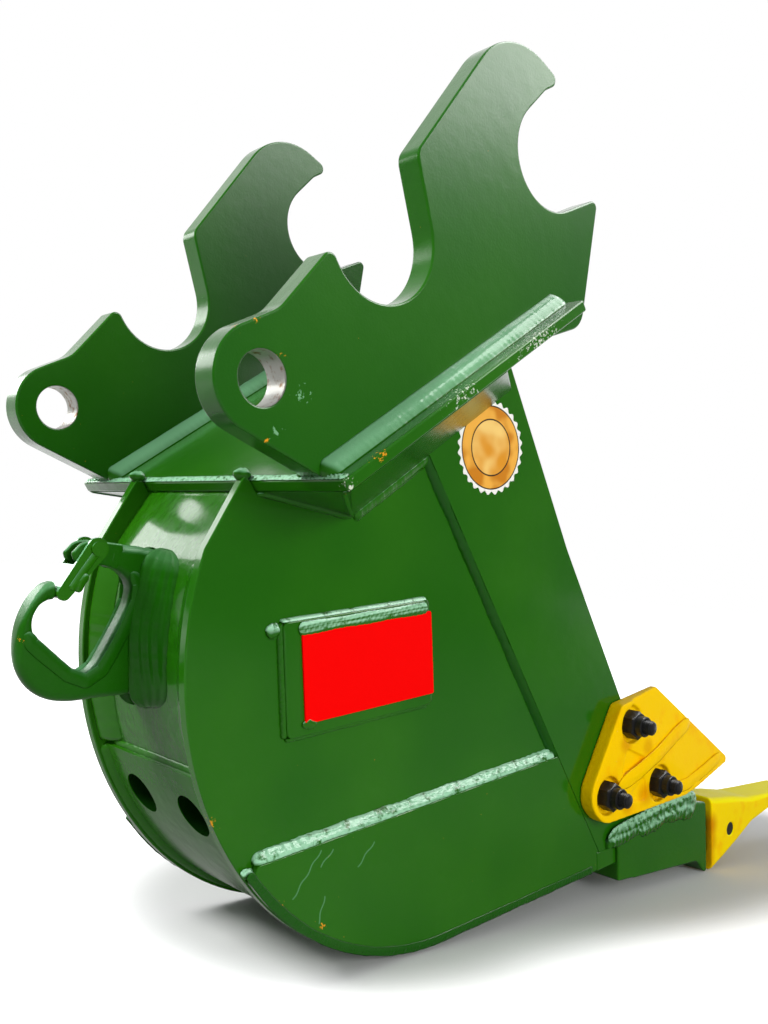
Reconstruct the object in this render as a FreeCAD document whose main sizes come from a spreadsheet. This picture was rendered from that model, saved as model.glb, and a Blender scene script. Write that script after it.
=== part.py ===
"""Trenching bucket on a claw-and-bore hitch bracket.

The frame: the origin is on the axis of the hitch bore, midway between the ears. X points forward
to the teeth, Y to the left, Z up, with the bucket standing on its heel and its adapters.
Lengths are in millimetres and angles in degrees.
"""
import FreeCAD, Part

import math
import os

Vector = FreeCAD.Vector
doc = FreeCAD.newDocument("trenching_bucket")

SIZES = {
    # hitch bracket
    "bore_diameter": 40,
    "boss_radius": 40,
    "ear_thickness": 25,
    "ear_gap": 310,
    "ear_rear_inset": 4,
    "ear_weld_leg": 12,
    "ear_weld_rear": 12,
    "ear_weld_front_inset": 12,
    "base_length": 315,
    "base_width": 418,
    "base_thickness": 10,
    "base_slope": 35.8,
    "base_rear_x": 55.7,
    "base_rear_z": -65.9,
    "toe_wrap": 22,
    "toe_thickness": 12,
    # flares between the bracket and the bucket
    "flare_drop": 69,
    "flare_thickness": 8,
    "flare_rear_sweep": 74,
    "flare_top_front": 193,
    "flare_toe_front": 313,
    "crossbar_depth": 30,
    "crossbar_length": 30,
    # bucket shell
    "body_width": 184,
    "side_thickness": 10,
    "bar_thickness": 18,
    "back_x": 294.6,
    "back_z": -196.5,
    "back_radius": 286.6,
    "heel_radius": 251.5,
    "blend_angle": 225.6,
    "floor_slope": 7,
    "wrapper_depth": 22,
    "upper_wrapper_thickness": 8,
    "lower_wrapper_thickness": 14,
    "seam_angle": 202.3,
    "drain_diameter": 40,
    "drain_spacing": 86,
    "drain_angle": 211.1,
    "wear_plate_thickness": 8,
    "wear_plate_inset": 1,
    "lip_start": 234,
    "lip_length": 148,
    "lip_thickness": 20,
    "lip_bevel": 14,
    # ground-engaging parts
    "adapter_width": 56,
    "adapter_offset": 76,
    "adapter_cheek": 4,
    "tooth_width": 62,
    "tooth_length": 231,
    "tooth_gap": 7,
    "nose_length": 76,
    "nose_clearance": 0.3,
    "tooth_pin_diameter": 16,
    "tooth_pin_length": 56,
    "cutter_thickness": 17,
    "cutter_pocket_diameter": 41,
    "cutter_pocket_depth": 8,
    "cutter_recess_depth": 3,
    "cutter_edge_thickness": 8,
    "cutter_bevel_width": 62,
    "bolt_diameter": 16,
    "bolt_clearance": 0.75,
    "bolt_head_diameter": 30,
    "bolt_projection": 26,
    "nut_flats": 27,
    "nut_height": 16,
    "nut_collar_diameter": 22,
    "nut_collar_height": 8,
    "bolt_head_height": 6,
    "thread_clearance": 0.05,
    # lifting hook and its latch
    "hook_thickness": 20,
    "hook_slot": 10,
    "latch_behind_wrapper": 52.5,
    "latch_z": -127.5,
    "latch_sheet": 3,
    "latch_side_gap": 0.4,
    "latch_pin_diameter": 8,
    "latch_pin_clearance": 0.08,
    "latch_pin_head_radius": 6,
    "latch_pin_head_height": 2,
    "spring_wire": 1.6,
    "spring_coils": 4,
    # name plate on the right side
    "plate_x": 180,
    "plate_z": -213.7,
    "plate_tilt": 7.8,
    "plate_back_length": 163,
    "plate_back_height": 96,
    "plate_back_thickness": 6,
    "plate_face_length": 147,
    "plate_face_height": 76,
    "plate_face_thickness": 2,
    "plate_face_shift": 9,
}

sheet = doc.addObject("Spreadsheet::Sheet", "sizes")
for row, (name, value) in enumerate(SIZES.items(), start=1):
    sheet.set(f"A{row}", name)
    sheet.set(f"B{row}", str(value))
    sheet.setAlias(f"B{row}", name)
doc.recompute()


class Sizes:
    """The driving sizes, read from the sheet by name."""

    def __getattr__(self, name):
        return float(sheet.get(name))


size = Sizes()
nodes = []

# Which side of the bucket a paired piece is on: the left side has positive Y
SIDES = {"left": 1, "right": -1}


def keep(piece, label):
    """Give a finished piece the name of its node."""
    piece.Label = label
    nodes.append(piece)
    return piece


def polar(x, z, radius, angle):
    """Point at an angle on a circle, as (x, z)."""
    return (x + radius * math.cos(math.radians(angle)), z + radius * math.sin(math.radians(angle)))


def meet(a, b, c, d):
    """Point where the line through a and b meets the line through c and d."""
    ux, uz = b[0] - a[0], b[1] - a[1]
    vx, vz = d[0] - c[0], d[1] - c[1]
    share = ((c[0] - a[0]) * vz - (c[1] - a[1]) * vx) / (ux * vz - uz * vx)
    return (a[0] + share * ux, a[1] + share * uz)


def tangent(point, centre, radius, side):
    """Angle on a circle where the line from a point touches it; side is +1 or -1."""
    dx, dz = point[0] - centre[0], point[1] - centre[1]
    spread = math.degrees(math.acos(radius / math.hypot(dx, dz)))
    return math.degrees(math.atan2(dz, dx)) + side * spread


def outline(items):
    """Closed outline in sketch coordinates.

    An item is a corner (x, z), a rounded corner (x, z, radius), or an arc
    (centre x, centre z, radius, first angle, last angle). Straight lines join them.
    """
    spans = []
    for item in items:
        if len(item) == 5:
            x, z, radius, first, last = item
            middle = polar(x, z, radius, (first + last) / 2)
            spans.append([Vector(*polar(x, z, radius, first)), Vector(*middle), Vector(*polar(x, z, radius, last))])
        else:
            corner = Vector(item[0], item[1])
            spans.append([corner, None, corner])
    stops = []
    for index, item in enumerate(items):
        start, middle, end = spans[index]
        if len(item) == 3 and item[2] > 0:
            back = (spans[index - 1][2] - start).normalize()
            ahead = (spans[(index + 1) % len(items)][0] - start).normalize()
            half = back.getAngle(ahead) / 2
            reach = item[2] / math.tan(half)
            middle = start + (back + ahead).normalize() * (item[2] / math.sin(half) - item[2])
            stops.append((start + back * reach, middle, start + ahead * reach))
        else:
            stops.append((start, middle, end))
    edges = []
    for index, (start, middle, end) in enumerate(stops):
        if middle is not None:
            edges.append(Part.Arc(start, middle, end))
        following = stops[(index + 1) % len(stops)][0]
        if end.distanceToPoint(following) > 1e-6:
            edges.append(Part.LineSegment(end, following))
    return edges


def circle(x, z, radius):
    """Full circle in sketch coordinates."""
    return [Part.Circle(Vector(x, z), Vector(0, 0, 1), radius)]


def body(label, placement=None, blank=False):
    """New body, turned or moved to the frame its sketches are drawn in.

    A blank is cut further by other objects, so it is no node itself.
    """
    piece = doc.addObject("PartDesign::Body", label)
    if placement is not None:
        piece.Placement = placement
    return piece if blank else keep(piece, label)


def sketch(piece, role, edges, offset="0"):
    """Sketch on one of the body's own planes, moved along its normal by an expression.

    On XZ_Plane the normal is -Y, on YZ_Plane +X and on XY_Plane +Z.
    """
    drawing = piece.newObject("Sketcher::SketchObject", piece.Name + "_sketch")
    plane = [feature for feature in piece.Origin.OriginFeatures if feature.Role == role][0]
    drawing.AttachmentSupport = [(plane, "")]
    drawing.MapMode = "FlatFace"
    drawing.setExpression(".AttachmentOffset.Base.z", offset)
    drawing.addGeometry(edges, False)
    return drawing


def pad(piece, drawing, length, midplane=False):
    """Pad a sketch along its normal, or evenly to both sides."""
    feature = piece.newObject("PartDesign::Pad", piece.Name + "_pad")
    feature.Profile = drawing
    feature.setExpression("Length", length)
    feature.Midplane = midplane
    piece.Tip = feature
    return feature


def cut_through(piece, drawing):
    """Cut a sketch through the whole body, to both sides of its plane."""
    feature = piece.newObject("PartDesign::Pocket", piece.Name + "_cut")
    feature.Profile = drawing
    feature.Type = "ThroughAll"
    feature.Midplane = True
    piece.Tip = feature
    return feature


def pocket(piece, drawing, length, midplane=False, reverse=False):
    """Cut a sketch to a depth, against its normal unless reversed."""
    feature = piece.newObject("PartDesign::Pocket", piece.Name + "_pocket")
    feature.Profile = drawing
    feature.setExpression("Length", length)
    feature.Midplane = midplane
    feature.Reversed = reverse
    piece.Tip = feature
    return feature


def loft(piece, drawings, subtract=False):
    """Straight loft through sketches, added to or taken from the body."""
    kind = "PartDesign::SubtractiveLoft" if subtract else "PartDesign::AdditiveLoft"
    feature = piece.newObject(kind, piece.Name + "_loft")
    feature.Profile = drawings[0]
    feature.Sections = drawings[1:]
    feature.Ruled = True
    piece.Tip = feature
    return feature


def plate(label, side, items, inner, thickness, placement=None, blank=False):
    """Flat plate that stands upright along X, from a distance off the middle outwards."""
    piece = body(label, placement, blank)
    offset = inner if side < 0 else f"-(({inner}) + ({thickness}))"
    pad(piece, sketch(piece, "XZ_Plane", outline(items), offset), thickness)
    return piece


def turned(x, z, slope):
    """Placement at a point of the middle plane, with its X axis raised by a slope."""
    return FreeCAD.Placement(Vector(x, 0, z), FreeCAD.Rotation(Vector(0, 1, 0), -slope))


# Lengths along the bracket's base plate and along the bucket's floor, and points beside them

def base_point(along, down):
    """Point beside the base plate: along it from its rear edge, and down from its top face."""
    slope = math.radians(size.base_slope)
    return (
        size.base_rear_x + along * math.cos(slope) + down * math.sin(slope),
        size.base_rear_z + along * math.sin(slope) - down * math.cos(slope),
    )


def base_along(x, z):
    """How far along the base plate a point is."""
    slope = math.radians(size.base_slope)
    return (x - size.base_rear_x) * math.cos(slope) + (z - size.base_rear_z) * math.sin(slope)


HEEL_X, HEEL_Z = polar(size.back_x, size.back_z, size.back_radius - size.heel_radius, size.blend_angle)
FLOOR_ANGLE = 270 + size.floor_slope
FLOOR_X, FLOOR_Z = polar(HEEL_X, HEEL_Z, size.heel_radius, FLOOR_ANGLE)


def floor_point(along, up):
    """Point above the floor line: forward along it from the heel, and up from it."""
    slope = math.radians(size.floor_slope)
    return (
        FLOOR_X + along * math.cos(slope) - up * math.sin(slope),
        FLOOR_Z + along * math.sin(slope) + up * math.cos(slope),
    )


bracket_frame = turned(size.base_rear_x, size.base_rear_z, size.base_slope)
floor_frame = turned(FLOOR_X, FLOOR_Z, size.floor_slope)

UNDERSIDE = (base_point(0, size.base_thickness), base_point(size.base_length, size.base_thickness))
LIP_TOP = (floor_point(size.lip_start, size.lip_thickness), floor_point(size.lip_start + size.lip_length, size.lip_thickness))

# Adapter outline in the floor frame, from the heel of its top strap round to its front face
ADAPTER_FRONT = 446
ADAPTER_TOP_REAR = (249, 31)
ADAPTER_TOP_MIDDLE = (373, 43)
ADAPTER_TOP_FRONT = (ADAPTER_FRONT, 27)
ADAPTER_BOTTOM_FRONT = (ADAPTER_FRONT, -59)
ADAPTER_RECESS = ((439, -57, 4), (425, -41, 10))
ADAPTER_STRAP_REAR = (266, -20)

# The side bar's edges: its rear edge is straight, its front edge bends once, and its foot keeps to the floor
BAR_REAR = ((202.2, 29.1), floor_point(240.9, 14.6))
BAR_FRONT_TOP = (319.1, 114.8)
BAR_FRONT_BEND = (447.7, -99.1)
BAR_FRONT_LOW = floor_point(350.5, 45.8)

BAR_TOP_REAR = meet(*BAR_REAR, *UNDERSIDE)
BAR_FOOT_REAR = meet(*BAR_REAR, *LIP_TOP)

# Hitch bracket

base = body("hitch_base_plate", bracket_frame)
half_width = size.base_width / 2
base_corners = [
    (0, -half_width, 3),
    (size.base_length, -half_width, 3),
    (size.base_length, half_width, 3),
    (0, half_width, 3),
]
pad(base, sketch(base, "XY_Plane", outline(base_corners), "-sizes.base_thickness"), "sizes.base_thickness")

EAR_REAR = base_point(size.ear_rear_inset, 0)
EAR_WAIST = (10.1, 51.4)
EAR_PEAK = (52.0, 106.3)
SADDLE = (101.6, 126.2)
SADDLE_RADIUS = 52
EAR_NECK = (129.1, 200.7)
CREST = (248.3, 266.8)
CREST_RADIUS = 64
CLAW_TIP = (297.8, 315.9)
CLAW_THROAT = (277.6, 302.2)
CLAW = (293.9, 247.3)
CLAW_RADIUS = 48
# the ear's front edge keeps its place ahead of the base plate's front end
EAR_FRONT = base_point(size.base_length + 104.5, -60.6)
TOE_FRONT = base_point(size.base_length + 21.9, 32.5)

boss = size.boss_radius
toe_under = size.base_thickness + size.toe_thickness
ear_outline = [
    EAR_REAR + (2,),
    (0, 0, boss, tangent(EAR_REAR, (0, 0), boss, -1), tangent(EAR_WAIST, (0, 0), boss, 1) - 360),
    EAR_WAIST + (30,),
    EAR_PEAK + (7,),
    SADDLE + (
        SADDLE_RADIUS,
        tangent(EAR_PEAK, SADDLE, SADDLE_RADIUS, 1) + 360,
        tangent(EAR_NECK, SADDLE, SADDLE_RADIUS, -1) + 360,
    ),
    EAR_NECK + (14,),
    CREST + (
        CREST_RADIUS,
        tangent(EAR_NECK, CREST, CREST_RADIUS, -1) + 360,
        tangent(CLAW_TIP, CREST, CREST_RADIUS, 1),
    ),
    CLAW_TIP + (7,),
    CLAW_THROAT + (20,),
    CLAW + (
        CLAW_RADIUS,
        tangent(CLAW_THROAT, CLAW, CLAW_RADIUS, 1),
        tangent(EAR_FRONT, CLAW, CLAW_RADIUS, -1) + 360,
    ),
    EAR_FRONT + (6,),
    TOE_FRONT + (22,),
    base_point(size.base_length - size.toe_wrap, toe_under) + (4,),
    base_point(size.base_length - size.toe_wrap, size.base_thickness),
    base_point(size.base_length, size.base_thickness),
    base_point(size.base_length, 0),
]

for name, side in SIDES.items():
    ear = plate(f"ear_{name}", side, ear_outline, "sizes.ear_gap / 2", "sizes.ear_thickness")
    cut_through(ear, sketch(ear, "XZ_Plane", circle(0, 0, size.bore_diameter / 2)))


def bead(y, outwards):
    """Section of a fillet weld that stands on the base plate against an upright face at y."""
    leg = size.ear_weld_leg
    bulge = 0.62 * leg
    foot = Vector(y + outwards * leg, 0)
    crown = Vector(y + outwards * bulge, bulge)
    head = Vector(y, leg)
    root = Vector(y, 0)
    return [Part.LineSegment(root, foot), Part.Arc(foot, crown, head), Part.LineSegment(head, root)]


for name, side in SIDES.items():
    for face, outwards in (("outer", 1), ("inner", -1)):
        weld = body(f"ear_weld_{face}_{name}", bracket_frame)
        distance = size.ear_gap / 2 + (size.ear_thickness if outwards > 0 else 0)
        section = sketch(weld, "YZ_Plane", bead(side * distance, side * outwards), "sizes.ear_weld_rear")
        pad(weld, section, "sizes.base_length - sizes.ear_weld_rear - sizes.ear_weld_front_inset")

# Flares from the wide base plate down to the narrow bucket

# how far the cutting sketches reach past the plate they cut
spill = 5
toe_depth = size.base_thickness + size.flare_drop
bar_start_x, bar_start_z = meet(*BAR_REAR, base_point(0, toe_depth), base_point(size.base_length, toe_depth))
bar_start = base_along(bar_start_x, bar_start_z)

for name, side in SIDES.items():
    top_y = size.base_width / 2
    toe_y = size.body_width / 2
    top_z = -size.base_thickness
    lean = math.atan2(size.flare_drop, top_y - toe_y)
    flare = body(f"flare_{name}", bracket_frame)
    flare_section = [
        (side * top_y, top_z),
        (side * toe_y, top_z - size.flare_drop),
        (side * toe_y, top_z - size.flare_drop + size.flare_thickness / math.cos(lean)),
        (side * (top_y - size.flare_thickness / math.sin(lean)), top_z),
    ]
    pad(flare, sketch(flare, "YZ_Plane", outline(flare_section)), "sizes.flare_toe_front")
    sweep = (size.flare_toe_front - size.flare_top_front) / (top_y - toe_y)
    rear_cut = [
        (-spill, side * (toe_y - spill)),
        (size.flare_rear_sweep, side * (toe_y - spill)),
        (size.flare_rear_sweep, side * toe_y),
        (0, side * top_y),
        (0, side * (top_y + spill)),
        (-spill, side * (top_y + spill)),
    ]
    cut_through(flare, sketch(flare, "XY_Plane", outline(rear_cut)))
    front_cut = [
        (size.flare_toe_front + spill, side * (toe_y - spill)),
        (size.flare_toe_front + sweep * spill, side * (toe_y - spill)),
        (size.flare_top_front - sweep * spill, side * (top_y + spill)),
        (size.flare_toe_front + spill, side * (top_y + spill)),
    ]
    cut_through(flare, sketch(flare, "XY_Plane", outline(front_cut)))
    # the side bar stands prouder than the side plate, so the toe steps out where the bar starts
    bar_y = toe_y - size.side_thickness + size.bar_thickness
    step = [
        (bar_start, side * (toe_y - spill)),
        (size.flare_toe_front + spill, side * (toe_y - spill)),
        (size.flare_toe_front + spill, side * bar_y),
        (bar_start, side * bar_y),
    ]
    cut_through(flare, sketch(flare, "XY_Plane", outline(step)))

    corner = Vector(0, side * top_y, top_z)
    heel = Vector(0, side * toe_y, top_z)
    toe = Vector(size.flare_rear_sweep, side * toe_y, top_z - size.flare_drop)
    run = size.flare_thickness
    shift = run * (top_y - toe_y) / size.flare_rear_sweep
    lower = [corner, heel, toe]
    upper = [
        corner + Vector(run, -side * shift, 0),
        heel + Vector(run, 0, 0),
        toe + Vector(0, 0, size.flare_thickness / math.cos(lean)),
    ]
    rear_flare = doc.addObject("Part::Feature", f"rear_flare_{name}")
    triangles = [Part.makePolygon(points + points[:1]) for points in (lower, upper)]
    rear_flare.Shape = Part.makeLoft(triangles, True, True)
    rear_flare.Placement = bracket_frame
    keep(rear_flare, f"rear_flare_{name}")

crossbar = body("mouth_crossbar", bracket_frame)
crossbar_section = [
    (size.base_length - size.crossbar_length, -size.base_thickness),
    (size.base_length, -size.base_thickness),
    (size.base_length, -size.base_thickness - size.crossbar_depth, 4),
    (size.base_length - size.crossbar_length, -size.base_thickness - size.crossbar_depth, 4),
]
pad(
    crossbar,
    sketch(crossbar, "XZ_Plane", outline(crossbar_section)),
    "sizes.body_width - 2 * sizes.side_thickness",
    midplane=True,
)

# Bucket shell


def shell_arcs(depth, first, last):
    """Arcs of the back and heel at a depth inside the rim, between two angles."""
    back = (size.back_x, size.back_z, size.back_radius - depth)
    heel = (HEEL_X, HEEL_Z, size.heel_radius - depth)
    arcs = []
    if first < size.blend_angle:
        arcs.append(back + (first, min(last, size.blend_angle)))
    if last > size.blend_angle:
        arcs.append(heel + (max(first, size.blend_angle), last))
    return arcs


RIM_TOP_ANGLE = 164.9
RIM_CORNER = (49.5, -61.5, 3)
BAR_INNER = "sizes.body_width / 2 - sizes.side_thickness"

side_outline = [
    base_point(0, size.base_thickness),
    base_point(0, 0.5),
    RIM_CORNER,
    *shell_arcs(0, RIM_TOP_ANGLE, FLOOR_ANGLE),
    floor_point(size.lip_start, 0),
    floor_point(size.lip_start, size.lip_thickness),
    BAR_FOOT_REAR,
    BAR_TOP_REAR,
]

ADAPTER_REAR_FOOT = floor_point(ADAPTER_TOP_REAR[0], size.lip_thickness)
adapter_top = (floor_point(*ADAPTER_TOP_REAR), floor_point(*ADAPTER_TOP_MIDDLE))
bar_outline = [
    BAR_TOP_REAR,
    BAR_FOOT_REAR,
    ADAPTER_REAR_FOOT,
    floor_point(*ADAPTER_TOP_REAR),
    meet(BAR_FRONT_BEND, BAR_FRONT_LOW, *adapter_top),
    BAR_FRONT_BEND + (120,),
    meet(BAR_FRONT_BEND, BAR_FRONT_TOP, *UNDERSIDE),
]

WEAR_TOP_REAR = (84.0, -369.5)
WEAR_TOP_FRONT = (450.4, -313.4)
wear_front_top = meet(WEAR_TOP_REAR, WEAR_TOP_FRONT, *BAR_REAR)
WEAR_REAR_ANGLE = 221
inset = size.wear_plate_inset
wear_outline = [
    WEAR_TOP_REAR + (5,),
    *shell_arcs(inset, WEAR_REAR_ANGLE, FLOOR_ANGLE),
    floor_point(size.lip_start, inset),
    floor_point(size.lip_start, size.lip_thickness),
    BAR_FOOT_REAR,
    wear_front_top,
]

# beside the floor line, as the cutter is
CUTTER_BOLTS = tuple(floor_point(along, up) for along, up in ((280.2, 154.2), (234.5, 85.8), (329.3, 78.7)))
bolt_hole = size.bolt_diameter / 2 + size.bolt_clearance

for name, side in SIDES.items():
    plate(f"side_plate_{name}", side, side_outline, BAR_INNER, "sizes.side_thickness")
    bar = plate(f"side_bar_{name}", side, bar_outline, BAR_INNER, "sizes.bar_thickness")
    holes = [ring for x, z in CUTTER_BOLTS for ring in circle(x, z, bolt_hole)]
    cut_through(bar, sketch(bar, "XZ_Plane", holes))
    plate(f"side_wear_plate_{name}", side, wear_outline, "sizes.body_width / 2", "sizes.wear_plate_thickness")

INNER_WIDTH = "sizes.body_width - 2 * sizes.side_thickness"
upper_outer = size.wrapper_depth - size.upper_wrapper_thickness
lower_outer = size.wrapper_depth - size.lower_wrapper_thickness

upper = body("wrapper_upper")
WRAPPER_TOP_OUTER = 3
WRAPPER_TOP_INNER = 23
upper_outline = [
    base_point(WRAPPER_TOP_OUTER, size.base_thickness),
    *shell_arcs(upper_outer, RIM_TOP_ANGLE, size.seam_angle),
    *[arc[:3] + (arc[4], arc[3]) for arc in shell_arcs(size.wrapper_depth, RIM_TOP_ANGLE, size.seam_angle)],
    base_point(WRAPPER_TOP_INNER, size.base_thickness),
]
pad(upper, sketch(upper, "XZ_Plane", outline(upper_outline)), INNER_WIDTH, midplane=True)

lower = body("lower_wrapper_blank", blank=True)
inner_arcs = [arc[:3] + (arc[4], arc[3]) for arc in shell_arcs(size.wrapper_depth, size.seam_angle, FLOOR_ANGLE)]
lower_outline = [
    *shell_arcs(lower_outer, size.seam_angle, FLOOR_ANGLE),
    floor_point(size.lip_start, lower_outer),
    floor_point(size.lip_start, size.wrapper_depth),
    *reversed(inner_arcs),
]
pad(lower, sketch(lower, "XZ_Plane", outline(lower_outline)), INNER_WIDTH, midplane=True)
drain_x, drain_z = polar(size.back_x, size.back_z, size.back_radius, size.drain_angle)
drain = doc.addObject("Part::Compound", "drain_tools")
drills = []
for index, side in enumerate((1, -1)):
    drill = doc.addObject("Part::Cylinder", f"drain_drill_{index}")
    drill.setExpression("Radius", "sizes.drain_diameter / 2")
    drill.setExpression("Height", "3 * sizes.wrapper_depth")
    drill.Placement = FreeCAD.Placement(
        Vector(drain_x, side * size.drain_spacing / 2, drain_z),
        FreeCAD.Rotation(Vector(0, 1, 0), 270 - size.drain_angle),
    )
    drills.append(drill)
drain.Links = drills
drained = doc.addObject("Part::Cut", "wrapper_lower")
drained.Base = lower
drained.Tool = drain
keep(drained, "wrapper_lower")

lip = body("lip_plate", floor_frame)
lip_end = size.lip_start + size.lip_length
lip_outline = [
    (size.lip_start, 0),
    (lip_end, 0),
    (lip_end, size.lip_thickness - size.lip_bevel),
    (lip_end - 1.4 * size.lip_bevel, size.lip_thickness),
    (size.lip_start, size.lip_thickness),
]
lip_width = "sizes.body_width + 2 * (sizes.bar_thickness - sizes.side_thickness)"
pad(lip, sketch(lip, "XZ_Plane", outline(lip_outline)), lip_width, midplane=True)

# Adapters, teeth and their pins, in the floor frame

adapter_outline = [
    (ADAPTER_TOP_REAR[0], size.lip_thickness),
    ADAPTER_TOP_REAR + (6,),
    ADAPTER_TOP_MIDDLE + (40,),
    ADAPTER_TOP_FRONT + (5,),
    ADAPTER_BOTTOM_FRONT + (3,),
    *ADAPTER_RECESS,
    ADAPTER_STRAP_REAR + (4,),
    (ADAPTER_STRAP_REAR[0], size.lip_thickness),
]
LIP_SLOT_FRONT = lip_end + 1
lip_slot = [
    (ADAPTER_TOP_REAR[0] - spill, 0),
    (LIP_SLOT_FRONT, 0),
    (LIP_SLOT_FRONT, size.lip_thickness),
    (ADAPTER_TOP_REAR[0] - spill, size.lip_thickness),
]

TOOTH_REAR = ADAPTER_FRONT + size.tooth_gap
# Height of the nose's underside and top, and its width, at its root and at its tip
NOSE_ROOT = (-42, 16, 44)
NOSE_TIP = (-30, -2, 30)
NOSE_CORNER_RADIUS = 6
NOSE_TIP_GAP = 2
TOOTH_SECTIONS = (
    # distance from the rear rim, bottom, top, change of width, and corner radius
    (0, -60, 30, 0, 8),
    (31, -51.5, 23, -2, 8),
    (64, -41, 16.5, -4, 8),
    (104, -26.5, 6, -7, 7),
    (150, -20.5, 0, -11, 5),
    (size.tooth_length, -16, -9, -18, 2.5),
)


def rectangle(y, width, bottom, top, radius):
    """Rounded rectangle across the bucket, in (y, z)."""
    return outline([
        (y - width / 2, bottom, radius),
        (y + width / 2, bottom, radius),
        (y + width / 2, top, radius),
        (y - width / 2, top, radius),
    ])


def nose_section(piece, y, at_tip, clearance, lead):
    """Section of the adapter's nose, or of the tooth's socket with its clearance."""
    bottom, top, width = NOSE_TIP if at_tip else NOSE_ROOT
    at = ADAPTER_FRONT + (size.nose_length if at_tip else 0) + lead
    radius = NOSE_CORNER_RADIUS + clearance
    edges = rectangle(y, width + 2 * clearance, bottom - clearance, top + clearance, radius)
    return sketch(piece, "YZ_Plane", edges, f"{at}")


PIN_AT = (ADAPTER_FRONT + 53, -19.5)
PIN_HOLE_CLEARANCE = 0.1
pin_hole = size.tooth_pin_diameter / 2 + PIN_HOLE_CLEARANCE

for name, side in SIDES.items():
    y = side * size.adapter_offset
    adapter = body(f"adapter_{name}", floor_frame)
    adapter_offset = f"{-side} * sizes.adapter_offset"
    pad(adapter, sketch(adapter, "XZ_Plane", outline(adapter_outline), adapter_offset), "sizes.adapter_width", True)
    # the slot that the lip fits in is open inwards, with a thin cheek left outside
    slot_offset = f"{-side} * (sizes.adapter_offset - sizes.adapter_width / 2)"
    slot_depth = "sizes.adapter_width - sizes.adapter_cheek"
    pocket(adapter, sketch(adapter, "XZ_Plane", outline(lip_slot), slot_offset), slot_depth, reverse=side < 0)
    loft(adapter, [nose_section(adapter, y, at_tip, 0, 0) for at_tip in (False, True)])
    cut_through(adapter, sketch(adapter, "XZ_Plane", circle(*PIN_AT, pin_hole)))

    tooth = body(f"tooth_{name}", floor_frame)
    sections = []
    for distance, bottom, top, change, radius in TOOTH_SECTIONS:
        edges = rectangle(y, size.tooth_width + change, bottom, top, radius)
        sections.append(sketch(tooth, "YZ_Plane", edges, f"{TOOTH_REAR + distance}"))
    loft(tooth, sections)
    gap = size.nose_clearance
    socket = [nose_section(tooth, y, False, gap, 0), nose_section(tooth, y, True, gap, NOSE_TIP_GAP)]
    loft(tooth, socket, subtract=True)
    cut_through(tooth, sketch(tooth, "XZ_Plane", circle(*PIN_AT, pin_hole)))

    pin = body(f"tooth_pin_{name}", floor_frame)
    pin_section = circle(*PIN_AT, size.tooth_pin_diameter / 2)
    pad(pin, sketch(pin, "XZ_Plane", pin_section, adapter_offset), "sizes.tooth_pin_length", True)

# Bolt-on side cutters with their bolts and nuts

CUTTER_TOP = floor_point(336.5, 186.1)
CUTTER_TIP = floor_point(493.1, 70.6)


def beside_floor(corners):
    """Rounded corners given along the floor and up from it."""
    return [floor_point(along, up) + (radius,) for along, up, radius in corners]


CUTTER_OUTLINE = [
    *beside_floor([(260.5, 178.8, 10)]),
    CUTTER_TOP + (6,),
    CUTTER_TIP + (5,),
    *beside_floor([(380.6, 52.7, 20), (300.2, 54.5, 20), (225.9, 56.6, 28), (197.2, 85.8, 28)]),
]
CUTTER_RECESSES = (
    beside_floor([(268.2, 130.5, 5), (256.5, 100.7, 5), (310.9, 109.1, 5)]),
    beside_floor([(264.2, 73.5, 5), (302.5, 64.8, 5), (301.2, 95.2, 5)]),
)
# How far the bevelling wedge starts behind the blade's ends and outside its edge
BEVEL_LEAD = 40
BEVEL_TRAIL = 20
BEVEL_OUTSIDE = 2

bar_face = size.body_width / 2 - size.side_thickness + size.bar_thickness
BAR_FACE = "sizes.body_width / 2 - sizes.side_thickness + sizes.bar_thickness"
cutter_face = bar_face + size.cutter_thickness

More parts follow.
